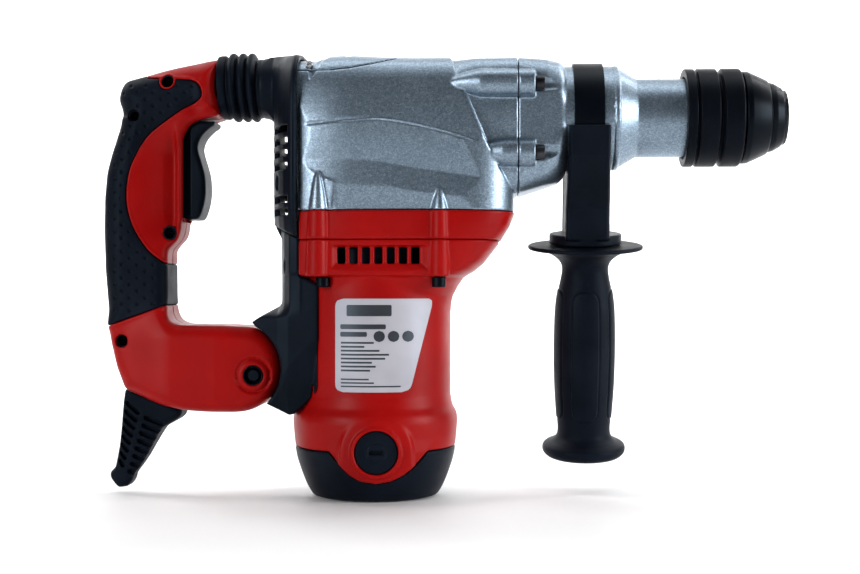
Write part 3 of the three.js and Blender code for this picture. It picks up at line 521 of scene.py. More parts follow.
def gear_housing_field():
    f = Field((BODY_REAR - 5, -46, FLANGE_TOP), (BODY_FRONT, 46, GEAR_HIGH.z), 0.7)
    side = curve([(42.4, 130), (42.7, 182), (41.4, 203), (37.2, 222), (32.5, 232.5), (26, 238.8),
                  (15, 242.4), (0, 243.3)], 4, closed=False)
    section = side + [(-y, z) for y, z in reversed(side[:-1])]
    arch = f.flat(section, "yz") + housing_relief(f)
    profile = [(-60, 140), (77.6, 140), (77.2, 165.6), (69, 179), (61.7, 193.7), (52.6, 215.2), (46, 229.5),
               (42.5, 241.5), (28, 247), (-60, 247)]
    wide = rounded(np.maximum(arch, f.swept("z", PLAN)), f.flat(profile), 0.8)
    reach = np.abs(f.z - (165.8 + 239.6) / 2) - (239.6 - 165.8) / 2
    across = np.abs(f.y) - np.interp(f.x, [30, 79], [36.5, 31.5])
    rim = np.interp(f.x, [30, 44, 56, 79], [27, 22, 14, 13])
    block = rounded_by(across, reach + np.interp(f.x, [30, 44, 79], [3, 0.6, 0]), rim)
    crown = f.tube("x", (0, BARREL_Z), 32.3) + np.interp(f.x, [34, 50], [5, 0])
    block = np.maximum(join(block, crown, 2.0), 30 - f.x)
    shape = join(wide, block, 1.0)
    for side_sign in (-1, 1):
        for z, tip in BOSSES:
            boss = f.bullet("x", (side_sign * BOSS_Y, z), BOSS_R, tip, tip + 18)
            shape = join(shape, boss, 0.6)
        rear_rib = f.bullet("z", (-27.3, side_sign * 41.5), 4.9, 177, 156)
        front_rib = f.bullet("z", (37.4, side_sign * 41.4), 4.2, 168, 156)
        shape = join(join(shape, rear_rib, 0.8), front_rib, 0.8)
    notch = [(-13.5, 241.2), (-8, 244.6), (-19.5, 244.6)]
    shape = cut(shape, f.flat(notch), 0.8)
    ends = np.maximum(BODY_REAR - f.x, f.x - BODY_FRONT)
    ends = np.maximum(ends, FLANGE_TOP + SEAM - f.z)
    shape = rounded(shape, ends, 0.3)
    chamber = [(-34, 140), (34, 140), (37, 160), (37, 205), (30, 228), (18, 236), (-18, 236), (-30, 228),
               (-37, 205), (-37, 160)]
    inside = np.maximum(f.flat(chamber, "yz"), np.maximum(BODY_REAR + 4 - f.x, f.x - 48))
    inside = join(inside, f.rod("x", (0, BARREL_Z), 31.2, 44, 72.4))
    inside = join(inside, f.box((34, -18, 140), (74.6, 18, 190)))
    inside = join(inside, f.rod("x", (0, BARREL_Z), 26, 70, 95))
    shape = cut(shape, inside)
    spigot = f.swept("x", [(-50, 158.4, 239.4, 35.6, 4), (-30, 158.4, 239.4, 35.6, 4)])
    spigot = cut(spigot, f.swept("x", [(-50, 161, 236.8, 33, 4), (-30, 161, 236.8, 33, 4)]))
    shape = join(shape, np.maximum(spigot, np.maximum(BODY_REAR - 4.5 - f.x, f.x - BODY_REAR - 5)))
    shape = cut(shape, f.rod("y", (SELECTOR_X, SELECTOR_Z), 6.3, 34, 60))
    for side_sign in (-1, 1):
        inner, outer = ((COVER_SCREW_X, side_sign * y, COVER_SCREW_Z) for y in (31, 60))
        shape = cut(shape, f.segment(inner, outer, 2.6))
    return f, shape


def make_gear_housing():
    f, shape = gear_housing_field()
    zone = f.flat(LID_ZONE)
    housing = rounded(shape, SEAM / 2 - zone, 0.25)
    settle(solid_piece("gear_housing_shell", f, housing, SILVER), "housing", "silver_housing", "gear_housing")
    lid = rounded(shape, zone + SEAM / 2, 0.25)
    settle(solid_piece("top_cover_shell", f, lid, SILVER), "housing", "silver_housing", "top_cover")


def make_front_housing():
    start, block_end = FRONT_LOW.x, 106
    f = Field((start, -40, 164), (FRONT_HIGH.x, 40, 242), 0.7)
    low, high, half = (np.interp(f.x, [start, 92, 101, block_end], numbers)
                       for numbers in ([165.8, 169.6, 172.4, 176], [239.6, 239.4, 238.8, 237.4],
                                       [31.5, 30.4, 29.6, 29]))
    reach = np.abs(f.z - (low + high) / 2) - (high - low) / 2
    rim = np.interp(f.x, [start, 95, block_end], [13, 17, 27])
    block = rounded_by(np.abs(f.y) - half, reach, rim)
    block = rounded(block, f.x - block_end, 4)
    tube_r = np.interp(f.x, [100, 130.6, 131, 134, 134.6, 144.4, 171, 172],
                       [28.7, 28.7, 28.2, 28.2, 27.6, 21.6, 21.6, 21])
    tube = np.hypot(f.y, f.z - BARREL_Z) - tube_r
    tube = np.maximum(tube, 96 - f.x)
    ring = f.rod("x", (0, BARREL_Z), 28.9, 131.2, 134, 0.4)
    shape = join(join(block, tube, 1.0), ring)
    for side_sign in (-1, 1):
        for z, _ in BOSSES:
            boss = f.rod("x", (side_sign * BOSS_Y, z), BOSS_R, start - 9, 88.3, 0.8)
            shape = join(shape, boss, 0.6)
    shape = rounded(shape, np.maximum(start - f.x, f.x - FRONT_HIGH.x), 0.4)
    shape = cut(shape, join(f.rod("x", (0, BARREL_Z), 24, start - 9, 121),
                            f.rod("x", (0, BARREL_Z), 18.7, 115, 180)))
    for side_sign in (-1, 1):
        for z, _ in BOSSES:
            shape = cut(shape, f.rod("x", (side_sign * BOSS_Y, z), 4.4, 88.3, 112))
            shape = cut(shape, f.rod("x", (side_sign * BOSS_Y, z), 4.0, 86, 90))
    settle(solid_piece("front_housing_shell", f, shape, SILVER), "housing", "silver_housing",
           "front_housing")


# ------------------------------------------------------------------ flange, motor housing and end cap
MOTOR_SCREWS = [-25.1, 36.9]  # X of the motor screws
MOTOR_SCREW_Y = 36.5
VENTS = 7
VENT_FIRST_X = -14.8
VENT_PITCH = 6.56
VENT_HALF = 2.15
BRUSH_Z = 27.4
BRUSH_TURN = math.radians(5.2)
CAP_TOP = 27.0
SKIRT = [(-24, 34), (-22, 27.6), (-15.3, 20), (-10.5, 15.3), (-4.9, 12), (3.6, 10.6), (11.2, 11.8),
         (17.8, 14.8), (24.4, 20), (32, 28.5), (34, 34)]
FLARE_Z = [44, 47, 51, 57]  # the barrel widens downwards between these heights


def screw_columns(f, low, high):
    """Round pillars that carry the long motor screws on both sides, wider towards the bottom."""
    shape = np.float32(1e3)
    for side_sign in (-1, 1):
        rear_r = np.interp(f.z, [120, 141, 156], [6.0, 5.6, 4.9])
        rear_x = np.interp(f.z, [120, 156], [-27.6, -27.3])
        front_r = np.interp(f.z, [120, 141, 156], [5.2, 4.7, 4.2])
        rear = np.hypot(f.x - rear_x, f.y - side_sign * (46.5 - rear_r)) - rear_r
        front = np.hypot(f.x - 37.4, f.y - side_sign * (45.8 - front_r)) - front_r
        shape = join(shape, join(rear, front))
    return np.maximum(shape, np.maximum(low - f.z, f.z - high))


def make_flange():
    low = FLANGE_LOW.z
    f = Field((BODY_REAR, -48, low), (79, 48, FLANGE_TOP), 0.75)
    shape = f.swept("z", PLAN)
    shape = join(shape, screw_columns(f, low - 5, FLANGE_TOP + 5), 0.8)
    shape = rounded(shape, np.maximum(low - f.z, f.z - FLANGE_TOP), 0.35)
    shape = np.maximum(shape, BODY_REAR + 0.2 - f.x)
    shape = cut(shape, f.rod("z", (0, 0), 15.6, 100, 170))
    shape = cut(shape, f.box((-32, -33, 151), (62, 33, 165)))
    settle(solid_piece("flange_ring", f, shape, RED), "housing", "red_housing", "intermediate_flange")


def motor_block(f):
    """Upper part of the motor housing, which grows out of the round barrel."""
    rows = [(104, -36, 41.3, 30, 2), (110, -41, 43.2, 36, 2.2), (116, -45, 46.4, 39, 2.8),
            (120.2, -46, 49.2, 40.6, 3.4), (121.4, -46.6, 50.9, 43.2, 4), (124, -48, 55.4, 43.5, 4),
            (128.3, -48, 60.5, 43.5, 4), (134.7, -48, 65.5, 43.5, 4), (141, -48, 70.2, 43.5, 4)]
    block = f.swept("z", rows)
    sides = [(f.x + 21) / 3.5, (32.5 - f.x) / 4.5, (f.z - 123.5) / 3.8, (136.9 - f.z) / 0.4]
    depth = 2.6 * np.clip(np.minimum(np.minimum(sides[0], sides[1]), np.minimum(sides[2], sides[3])), 0, 1)
    block = np.maximum(block, join(120.7 - f.z, -19.5 - f.x))
    return np.maximum(block, np.abs(f.y) - 43.5 + depth)


def brush_turned(f):
    """X and Y on a grid turned with the brush axis."""
    c, s = math.cos(BRUSH_TURN), math.sin(BRUSH_TURN)
    return f.x * c + f.y * s, f.y * c - f.x * s


def brush_lobes(f, inset):
    """Where the motor housing reaches down into the end cap, on both sides."""
    left = np.maximum(f.flat([(-x, z) for x, z in SKIRT]) + inset, -f.y)
    right = np.maximum(f.flat(SKIRT) + inset, f.y)
    return join(left, right)


def make_motor_housing():
    top = FLANGE_LOW.z - SEAM
    f = Field((-47, -47, 9), (72, 47, top), 0.75)
    radius = height_at([(20, 44.3), (27, 44.5), (31.5, 45), (40, 45.7), (43, 45.7), (46, 45), (50, 43),
                        (54, 42.3), (57, 41.9), (70, 41.9), (121, 41.9)], f.z)
    barrel = np.hypot(f.x, f.y) - radius
    shape = join(barrel, np.maximum(motor_block(f), 103 - f.z), 2.0)
    shape = join(shape, screw_columns(f, 120.7, 160), 0.8)
    shape = rounded(shape, np.maximum(CAP_TOP + SEAM - f.z, f.z - top), 0.35)
    skirt_r = np.interp(f.z, [0, 4, 8, 14, 20.6, 27], [35, 37.7, 39.7, 42, 44, 44.9])
    skirt = np.hypot(f.x, f.y) - skirt_r - 0.3
    lobes = brush_lobes(f, SEAM)
    shape = join(shape, np.maximum(skirt, lobes))
    turned_x, turned_y = brush_turned(f)
    around = np.hypot(turned_x, f.z - BRUSH_Z)
    arch = np.hypot(turned_x, np.maximum(f.z - BRUSH_Z, 0)) - 19.7
    pad = rounded(arch, np.abs(turned_y) - 45.7 + 0.006 * around ** 2, 1.6)
    pad = np.maximum(pad, 30 - np.abs(f.y))
    pad = np.maximum(pad, join(lobes, CAP_TOP + SEAM - f.z))
    shape = join(shape, pad, 2.0)
    ring = rounded(np.abs(around - 12.6) - 1.1, np.abs(turned_y) - 46.6, 0.5)
    shape = join(shape, np.maximum(ring, 40 - np.abs(f.y)))
    shape = np.maximum(shape, np.minimum(BODY_REAR + 0.2 - f.x, f.z - 118))
    bracket_room = [(-60, 20), (-46, 42), (-42.3, 45.7), (-30.3, 56.3), (-27.6, 60), (-27.6, 116.9),
                    (-37.9, 121.6), (-60, 121.6)]
    wall = np.interp(f.z, FLARE_Z, [46.1, 45.4, 43.4, MOTOR_R])
    room = np.maximum(f.flat(bracket_room), np.abs(f.y) - 44)
    shape = cut(shape, np.maximum(room, wall - np.hypot(f.x, f.y)))
    seat = np.maximum(around - 11.7, 38.5 - np.abs(turned_y))
    seat = join(seat, np.maximum(around - 7.4, 14 - np.abs(turned_y)))
    shape = cut(shape, seat)
    for k in range(VENTS):
        x = VENT_FIRST_X + k * VENT_PITCH
        shape = cut(shape, f.box((x - VENT_HALF, -60, 127.3), (x + VENT_HALF, 60, 136.3), 0.5))
    inner_r = np.interp(f.z, [0, 30, 112, 128, 136, 136.1], [36, 38, 38, 36, 36, 15.4])
    shape = cut(shape, np.hypot(f.x, f.y) - inner_r)
    shape = cut(shape, f.box((-30, -38, 124), (42, 38, 136.5)))
    settle(solid_piece("motor_housing_shell", f, shape, RED), "housing", "red_housing", "motor_housing")
    section = [(33.8, 121.5), (35, 121.5), (35, 136.2), (33.8, 136.2)]
    guard = turned_piece("fan_guard_ring", section, "z", (0, 0, 0), BLACK)
    settle(guard, "housing", "black_cover")


def make_end_cap():
    f = Field((-46, -46, 0), (46, 46, CAP_TOP), 0.75)
    radius = height_at([(0, 34.6), (4, 37.2), (8, 39.1), (14, 41.4), (20.6, 43.5), (27, 44.7), (30, 45)], f.z)
    shape = rounded(np.hypot(f.x, f.y) - radius, np.maximum(-f.z, f.z - CAP_TOP), 0.8)
    shape = cut(shape, brush_lobes(f, -SEAM))
    inner_r = np.interp(f.z, [3.9, 4, 27], [0, 34.5, 40.5])
    shape = cut(shape, np.maximum(np.hypot(f.x, f.y) - inner_r, 4 - f.z))
    bearing_seat = np.maximum(f.rod("z", (0, 0), 14, 3, 17), 11.2 - np.hypot(f.x, f.y))
    shape = join(shape, bearing_seat)
    settle(solid_piece("end_cap_shell", f, shape, BLACK), "housing", "black_cover", "end_cap")


# ------------------------------------------------------------------ rear cover and lower bracket
COVER_SEAM = [(-60, 151.3), (-52.9, 147.9), (-36, 139.9)]
COVER_SLOTS = [200.1, 193.4, 186.8, 180, 162.2, 155.6]
ARM_X, ARM_Z, ARM_R = -75, 70.5, 24.4  # round end of the handle's lower arm


def seam_above(f, shift):
    """Positive above the diagonal joint between the rear cover and the bracket."""
    line = np.array(COVER_SEAM)
    return (f.z - np.interp(f.x, line[:, 0], line[:, 1]) - shift) * 0.9


def make_rear_cover():
    edge = COVER_EDGE
    f = Field((-66.5, -43, 138), (edge, 43, 245), 0.65)
    rows = [(-55.9, 139, 237, 7, 3), (-55.2, 138, 239, 14, 3), (-53.4, 136.5, 240.4, 22, 3.2),
            (-50.4, 135, 241.6, 29.5, 3.6), (-46.6, 134.5, 242.3, 36, 3.8), (-42.4, 134, 242.8, 40, 4),
            (edge + 1, 133, 243, 41.7, 4.6)]
    body = np.maximum(f.swept("x", rows), np.abs(f.x - (edge - 55.9) / 2) - (edge + 55.9) / 2)
    bore_z = 226.1
    sleeve_r = 16.6 - 0.5 * np.clip(1 - np.abs(f.x + 62.9) / 0.8, 0, 1) + 0.5 * (f.x > -46.4)
    sleeve = rounded(np.hypot(f.y, f.z - bore_z) - sleeve_r, np.abs(f.x + 52) - 13.2, 1.0)
    shape = join(body, sleeve, 7)
    shape = np.maximum(shape, f.z - 243)
    shape = shape + 0.45 * smooth_step(f.x, edge - 2.6, edge - 2.2)
    shape = rounded(shape, f.x - edge, 0.4)
    shape = rounded(shape, SEAM / 2 - seam_above(f, 0), 0.4)
    hollow = f.swept("x", [(-52.4, 152, 232, 14, 3), (-48, 148, 237, 31, 3.4), (-42, 151.5, 240.2, 37, 4),
                           (-30, 151.5, 240.2, 38, 4)])
    shape = cut(shape, np.maximum(hollow, -52.4 - f.x))
    shape = cut(shape, f.rod("x", (0, bore_z), 13.2, -70, -48))
    for z in COVER_SLOTS:
        slot = f.box((-60, -60, z - 1.9), (-44, 60, z + 1.9), 0.4)
        shape = cut(shape, np.maximum(slot, 10.5 - np.abs(f.y)))
    for side_sign in (-1, 1):
        shape = cut(shape, f.rod("x", (side_sign * 27.5, 171.2), 4.1, -60, -50))
    settle(solid_piece("rear_cover_shell", f, shape, BLACK), "housing", "black_cover", "rear_cover")


def make_lower_bracket():
    f = Field((-68, -33, 44), (-27.4, 33, 151), 0.65)
    throat = ARM_R + 1.4
    outline = [(-55.4, 156), (-55.4, 149), (-51.2, 140.6), (-51, 107.8), (-52, 104.6), (-65.3, 95.9),
               *arc(ARM_X, ARM_Z, throat, 62, -47), (-57.5, 51.6), (-44.9, 45.4), (-42, 46.1),
               (-28.6, 57.6), (-27.9, 60), (-27.9, 116.5), (-38.5, 121.2), (-38.5, 156)]
    fold = ((f.x + 45.5) * 0.715 - (f.z - 70.4) * 0.699)
    half = np.interp(f.x, [-66, -50.6, -45, -28], [27.6, 29.2, 31, 32.6])
    half = half - 0.24 * np.maximum(fold, 0)
    half = np.maximum(half, np.sqrt(np.maximum(MOTOR_R ** 2 - f.x ** 2, 0)) + 0.9)
    upper = np.interp(f.x, [-51.4, -50.6, -48, -44, -38], [8, 14, 23, 30, 32])
    half = half + (upper - half) * smooth_step(f.z, 98, 108) * (f.x < -38)
    half = half + 0.8 * smooth_step(f.z, 121.5, 122.5)
    shape = rounded(f.flat(outline), np.abs(f.y) - half, 1.6)
    shape = rounded(shape, seam_above(f, 0) + SEAM / 2, 0.4)
    tongue = rounded(f.flat([*arc(PIVOT_X, PIVOT_Z, 11, 90, 270), (-40, PIVOT_Z - 11),
                             (-40, PIVOT_Z + 11)]), np.abs(f.y) - 9, 0.5)
    shape = join(shape, tongue)
    shape = cut(shape, f.rod("z", (0, 0), MOTOR_R + SEAM, 30, 121.2))
    flare = np.hypot(f.x, f.y) - np.interp(f.z, FLARE_Z, [46.3, 45.6, 43.6, MOTOR_R])
    shape = cut(shape, flare)
    shape = cut(shape, f.tube("y", (PIVOT_X, PIVOT_Z), 3.4))
    for side_sign in (-1, 1):
        shape = cut(shape, f.rod("x", (side_sign * 26.5, 126.6), 4.1, -56, -46.8))
    settle(solid_piece("lower_bracket_shell", f, shape, BLACK), "housing", "black_cover", "lower_bracket")


# ------------------------------------------------------------------ rear handle
HANDLE = [(-84.5, 242.4), (-98, 240.2), (-108, 238.3), (-118, 236.2), (-128, 233.4), (-139.6, 230.4),
          (-142.6, 226), (-144, 219.8), (-141.4, 212.4), (-142.4, 205), (-147.6, 189), (-150.2, 179),
          (-151.5, 165), (-151.8, 148), (-151.1, 124), (-148.8, 97), (-146.7, 84), (-143.5, 70.5),
          (-138.8, 58.2), (-124, 52.3), (-114.9, 49.3), (-104.3, 47.1), (-92, 46.2),
          *arc(ARM_X, ARM_Z, ARM_R, -90, 68), (-84, 94), (-107.6, 94.2), (-112.6, 96.4),
          (-114.3, 101), (-114.5, 127.5), (-114.6, 135.5), (-108.8, 141.6), (-107.2, 146),
          (-106.8, 150.5), (-105.4, 152.6),
          (-105.4, 198.5), (-102, 204.6), (-97, 207.6), (-90, 208.8), (-84.5, 210.4)]
SOFT_ZONE = [(-131, 250), (-127.2, 231.2), (-118, 230.2), (-108, 229.6), (-100.4, 228.9), (-96.5, 226.4),
             (-94.9, 222.4), (-96.3, 218.4), (-106.2, 212.8), (-116, 206), (-125.7, 198.2),
             (-131.6, 188.4), (-135.5, 178.6), (-137, 166.8), (-136, 156.6), (-132.2, 146), (-125.7, 136.2),
             (-118.5, 130), (-113, 126.7), (-98, 121), (-98, 111.4), (-107.9, 107.7), (-128, 100.4),
             (-145, 94.5), (-170, 85.8), (-170, 250)]
# (X, Z, radius) of the screw recesses
HANDLE_SCREWS = [(-114.2, 228.8, 3.7), (-133, 209.8, 3.4), (-113.3, 144.9, 3.9), (-139.6, 85.2, 3.7)]


def handle_field(low, high, voxel):
    """Grid, outer surface of the whole handle, and distance to the soft grip's zone."""
    f = Field(low, high, voxel)
    flat = f.flat(eased(HANDLE, 2.5))
    upright = smooth_step(f.z, 118, 150) * smooth_step(-f.z, -214, -196)
    scoop = np.clip((f.x + 136) / 23.5, 0, 1) ** 1.5 * (1 - smooth_step(f.x, -111.6, -108))
    upper = smooth_step(f.z, 126, 158) * smooth_step(-f.z, -208, -188)
    half = HANDLE_HALF - 0.4 - (1.4 * smooth_step(f.x, -132, -112) + 7.4 * scoop) * upright * upper
    half = half * np.ones_like(flat)
    swell = smooth_step(f.x, -141, -110) * smooth_step(-f.z, -112, -86)
    half = half + (ARM_HALF - HANDLE_HALF) * swell
    half = half + 1.4 * smooth_step(f.x, -101, -92) * smooth_step(f.z, 204, 214)
    arm_edge = 0.08 * np.maximum(f.x + 86, 0) * smooth_step(-f.z, -100, -90)
    rim = 5 + 7.5 * smooth_step(-f.x, 112, 136) * smooth_step(f.z, 92, 104)
    rim = rim + 9 * smooth_step(f.z, 208, 216)
    rim = rim + 2.5 * smooth_step(-f.z, -96, -88)
    outer = rounded_by(flat, np.abs(f.y) - half + arm_edge, np.minimum(rim, 14.5))
    collar_end = f.x + 85.2 + 0.004 * (f.z - 226) ** 2
    outer = np.where(f.z > 200, np.maximum(outer, collar_end), outer)
    return f, outer, flat, f.flat(curve(SOFT_ZONE[1:-3], 3, closed=False) + SOFT_ZONE[-3:] + SOFT_ZONE[:1])


def handle_voids(f):
    """Room inside both shells for the trigger, the bracket's tongue, the bellows and the bolt."""
    pocket = np.maximum(f.flat([(-80, 209.6), (-104, 208.6), (-118, 200), (-118, 151.4), (-80, 151.4)]),
                        np.abs(f.y) - np.interp(f.x, [-109.6, -108.8], [5.6, 11.7]))
    throat = f.box((-80, -10, PIVOT_Z - 13), (-45, 10, PIVOT_Z + 13))
    mouth = f.rod("x", (0, 226.7), 13.2, -99, -80)
    bolt = f.tube("y", (PIVOT_X, PIVOT_Z), 3.5)
    return join(join(pocket, throat), join(mouth, bolt))


def screw_recess(f, x, z, r, depth):
    """Round holes from both sides that stop depth short of the middle."""
    return np.maximum(f.tube("y", (x, z), r), depth - np.abs(f.y))


def make_handle_shells():
    f, outer, flat, zone = handle_field((-153, -25, 44), (-50, 25, 246), 0.72)
    lip = 0.55 * np.clip(1 - np.abs(zone - 1.1) / 1.0, 0, 1) * (flat < -1)
    shell = np.maximum(outer - lip, SEAM - zone)
    shell = join(shell, outer + 3.4)
    x, z, r = HANDLE_SCREWS[0]
    collar = np.maximum(f.tube("y", (x, z), r + 0.9), outer - 0.5)
    shell = join(shell, np.maximum(collar, 9 - np.abs(f.y)))
    around = np.hypot(f.x - PIVOT_X, f.z - PIVOT_Z)
    ring = 1.3 * np.clip(1 - np.abs(around - 9.3) / 1.0, 0, 1)
    ring = ring + 0.7 * np.clip((around - 6.8) / 1.4, 0, 1) * (around < 9.3)
    shell = shell + ring * (np.abs(f.y) > 15)
    for x, z, r in HANDLE_SCREWS:
        shell = cut(shell, screw_recess(f, x, z, r, 4.6))
    shell = cut(shell, screw_recess(f, PIVOT_X, PIVOT_Z, 5.5, 12))
    shell = cut(shell, handle_voids(f))
    shell = cut(shell, f.rod("z", (-124, 0), 5, 40, 70))
    for name, sign in (("right", -1), ("left", 1)):
        half = rounded(shell, 0.12 - sign * f.y, 0.3)
        settle(solid_piece(f"handle_half_{name}", f, half, RED), "rear_handle", "red_housing",
               f"handle_shell_{name}")


def make_soft_grip():
    f, outer, flat, zone = handle_field((-153, -18, 85), (-94, 18, 236), 0.52)
    row = (f.z - 91) / 3.65
    line = np.round(row)
    shift = 4.4 * (line % 2)
    place = (f.x + 148 - shift) / 8.8
    spot = np.hypot((place - np.round(place)) * 8.8, (row - line) * 3.65)
    dimple = 0.75 * np.clip(1 - (spot / 1.15) ** 2, 0, 1)
    dimple = dimple * (flat < -4.0) * (zone < -2.6)
    for x, z, r in HANDLE_SCREWS[:2]:
        dimple = dimple * (np.hypot(f.x - x, f.z - z) > r + 1.8)
    skin = outer + dimple
    shape = rounded(skin, zone, 0.8)
    shape = cut(shape, outer + 3.2)
    x, z, r = HANDLE_SCREWS[0]
    shape = cut(shape, f.tube("y", (x, z), r + 1.15))
    x, z, r = HANDLE_SCREWS[1]
    shape = cut(shape, screw_recess(f, x, z, r, 4.6))
    shape = cut(shape, handle_voids(f))
    settle(solid_piece("soft_grip_skin", f, shape, RUBBER), "rear_handle", "soft_rubber", "soft_grip")


def make_trigger():
    f = Field((-112, -12, 150), (-87, 12, 209), 0.5)
    front = curve([(-89, 207.2), (-89.2, 205), (-92.5, 202.6), (-96.4, 198.4), (-98.2, 193.7), (-97.9, 189.9),
                   (-96, 183.6), (-94.4, 177.3), (-93.9, 171), (-94.1, 165.1), (-95.2, 159.6),
                   (-96.9, 154.6), (-98.6, 152.7)], 4, closed=False)
    flat = f.flat([*front, (-104, 152.3), (-111, 155), (-111, 196), (-103, 205), (-97, 207.3)])
    half = np.interp(f.x, [-102.9, -102.1], [5.2, 11.2])
    shape = rounded(flat, np.abs(f.y) - half, 2.6)
    settle(solid_piece("trigger_lever", f, shape, BLACK), "trigger", "black_cover", "trigger")


def make_strain_relief():
    f = Field((-151, -11, 1), (-105, 11, 60), 0.42)
    outline = [(-137.5, 60), (-139.7, 57.4), (-140.6, 50.5), (-141.6, 39), (-143.2, 26.7), (-146, 14),
               (-148.9, 11.2), (-148.6, 8), (-145.9, 4.4), (-143.9, 2.6), (-138.6, 3.4), (-136, 7),
               (-135.4, 10.2), (-131.6, 15.1), (-127.7, 21), (-124.6, 26.7), (-121.4, 32.2),
               (-118.6, 36.6), (-110.5, 41), (-108.2, 43), (-107, 47.6)]
    half = np.interp(f.z, [2, 11, 13, 38, 44], [7.4, 7.4, 6.8, 9.8, 10.3])
    under = f.flat([(-170, 80), (-138.8, 57.9), (-124, 52), (-114.9, 49), (-104.3, 46.8), (-90, 46),
                    (-90, 80)])
    shape = rounded(f.flat(eased(outline, 1.5)), np.abs(f.y) - half, 3.6)
    for k in range(8):
        left = ((-137.8 - 0.68 * k, 50.4 - 4.66 * k), (-131.6 - 1.38 * k, 45.0 - 4.26 * k))
        right = ((-127.4 - 1.44 * k, 42.2 - 4.32 * k), (-119.0 - 2.34 * k, 38.8 - 4.0 * k))
        for start, end in (left, right):
            slot = f.stripe(start, end, 1.15)
            shape = cut(shape, np.maximum(slot, half - 3.1 - np.abs(f.y)))
    shape = cut(shape, under - SEAM)
    lean = math.radians(12)
    cord_way = f.segment((-142 - 3 * math.sin(lean), 0, 0), (-142 + 24 * math.sin(lean), 0, 27), 3.6)
    shape = cut(shape, cord_way)
    settle(solid_piece("strain_relief_boot", f, shape, RUBBER), "rear_handle", "soft_rubber",
           "strain_relief")


def make_bellows():
    """Three leaning folds with a wide collar on the handle's side, open inside."""
    centre_z, segments = 226.8, int(96 / COARSE)
    spine = [(-86.6, 15.5), (-86.6, 17.2), (-85.8, 17.7), (-83, 17.9), (-82, 17.2), (-81.6, 16.8)]
    for crest in (-78.3, -73.0, -67.9):
        spine += [(crest - 2.2, 17.4), (crest - 1.6, 18.6), (crest, 19.3), (crest + 1.3, 18.7),
                  (crest + 2.0, 17.4), (crest + 2.4, 16.7)]
    spine += [(-65.4, 16.6), (-65.2, 15.5)]
    outside = curve(spine, 3, closed=False)
    inside = [(-65.2, 14.2), (-72, 14), (-80, 14), (-86.6, 14.2)]
    loop = outside + inside
    vertices, faces = [], []
    for x, r in loop:
        for k in range(segments):
            angle = 2 * math.pi * k / segments
            up = r * math.sin(angle)
            vertices.append(((x - 0.05 * up) * MM, r * math.cos(angle) * MM, (centre_z + up) * MM))
    for row in range(len(loop)):
        ahead = (row + 1) % len(loop)
        for k in range(segments):
            side = (k + 1) % segments
            faces.append((row * segments + k, ahead * segments + k, ahead * segments + side,
                          row * segments + side))
    piece = listed_piece("bellows_sleeve", vertices, faces, RUBBER, 60)
    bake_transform(piece)
    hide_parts("bellows")


# ------------------------------------------------------------------ screws, brush caps and nameplate
def screw_head(name, body, node, axis, at, r, reach, sign, material, drive, shank=None):
    """Round screw head along an axis, with a socket or cross cut into the end that sign points to."""
    number = "xyz".index(axis)
    others = [k for k in range(3) if k != number]
    low, high = [c - r - 1 for c in at], [c + r + 1 for c in at]
    low[number], high[number] = min(reach) - 1, max(reach) + 1
    if shank:
        low[number], high[number] = min(low[number], shank[1]), max(high[number], shank[2])
    f = Field(low, high, max(r / 12, 0.2))
    centre = [at[k] for k in others]
    shape = f.rod(axis, centre, r, *reach, 0.45)
    if shank:
        shape = join(shape, f.rod(axis, centre, *shank))
    along = (f.x, f.y, f.z)[number]
    first, second = ((f.x, f.y, f.z)[k] - at[k] for k in others)
    depth = (reach[1] if sign > 0 else -reach[0]) - sign * along
    if drive == "socket":
        turns = np.radians([0, 60, 120])
        flats = [np.abs(first * math.cos(a) + second * math.sin(a)) - 0.5 * r for a in turns]
        opening = np.max(flats, axis=0)
    else:
        bar = np.maximum(np.abs(first) - 0.62 * r, np.abs(second) - 0.15 * r)
        cross = np.maximum(np.abs(second) - 0.62 * r, np.abs(first) - 0.15 * r)
        opening = join(bar, cross)
    shape = cut(shape, np.maximum(opening, depth - 0.55 * r))
    piece = solid_piece(name, f, shape, material)
    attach(piece, body)
    if node:
        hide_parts(node)
    return piece


def make_screws():
    for side_name, sign in (("right", -1), ("left", 1)):
        for row, (z, _) in zip(("upper", "lower"), BOSSES):
            node = f"front_screw_{side_name}_{row}"
            piece = screw_head(f"{node}_head", "housing", node, "x", (0, sign * BOSS_Y, z), 3.7,
                               (88.5, 93.4), 1, DARK_STEEL, "socket", (2.2, 80, 90))
        for row, x in zip(("rear", "front"), MOTOR_SCREWS):
            node = f"motor_screw_{side_name}_{row}"
            piece = screw_head(f"{node}_head", "housing", node, "z", (x, sign * MOTOR_SCREW_Y, 0), 3.8,
                               (114.9, 120.5), -1, GLOSSY, "socket", (2.2, 118, 128))
        for k, (x, z, r) in enumerate(HANDLE_SCREWS):
            reach = sorted((sign * 4.7, sign * 7))
            piece = screw_head(f"handle_screw_{side_name}_{k + 1}", "rear_handle", None, "y", (x, 0, z),
                               0.75 * r, reach, sign, BLACK, "cross")
            sleeve = [(r - 0.7, 4.8), (r - 0.05, 4.8), (r - 0.05, 12.4), (r - 0.7, 12.4)]
            sleeve = [(radius, sign * y) for radius, y in sleeve]
            liner = turned_piece(f"screw_liner_{side_name}_{k + 1}", sleeve, "y", (x, 0, z), BLACK, 40)
            settle(liner, "rear_handle", "black_cover")
        reach = sorted((sign * 26.5, sign * 30.2))
        piece = screw_head(f"cover_screw_{side_name}", "housing", None, "y",
                           (COVER_SCREW_X, 0, COVER_SCREW_Z), 2.0, reach, sign, STEEL, "cross")


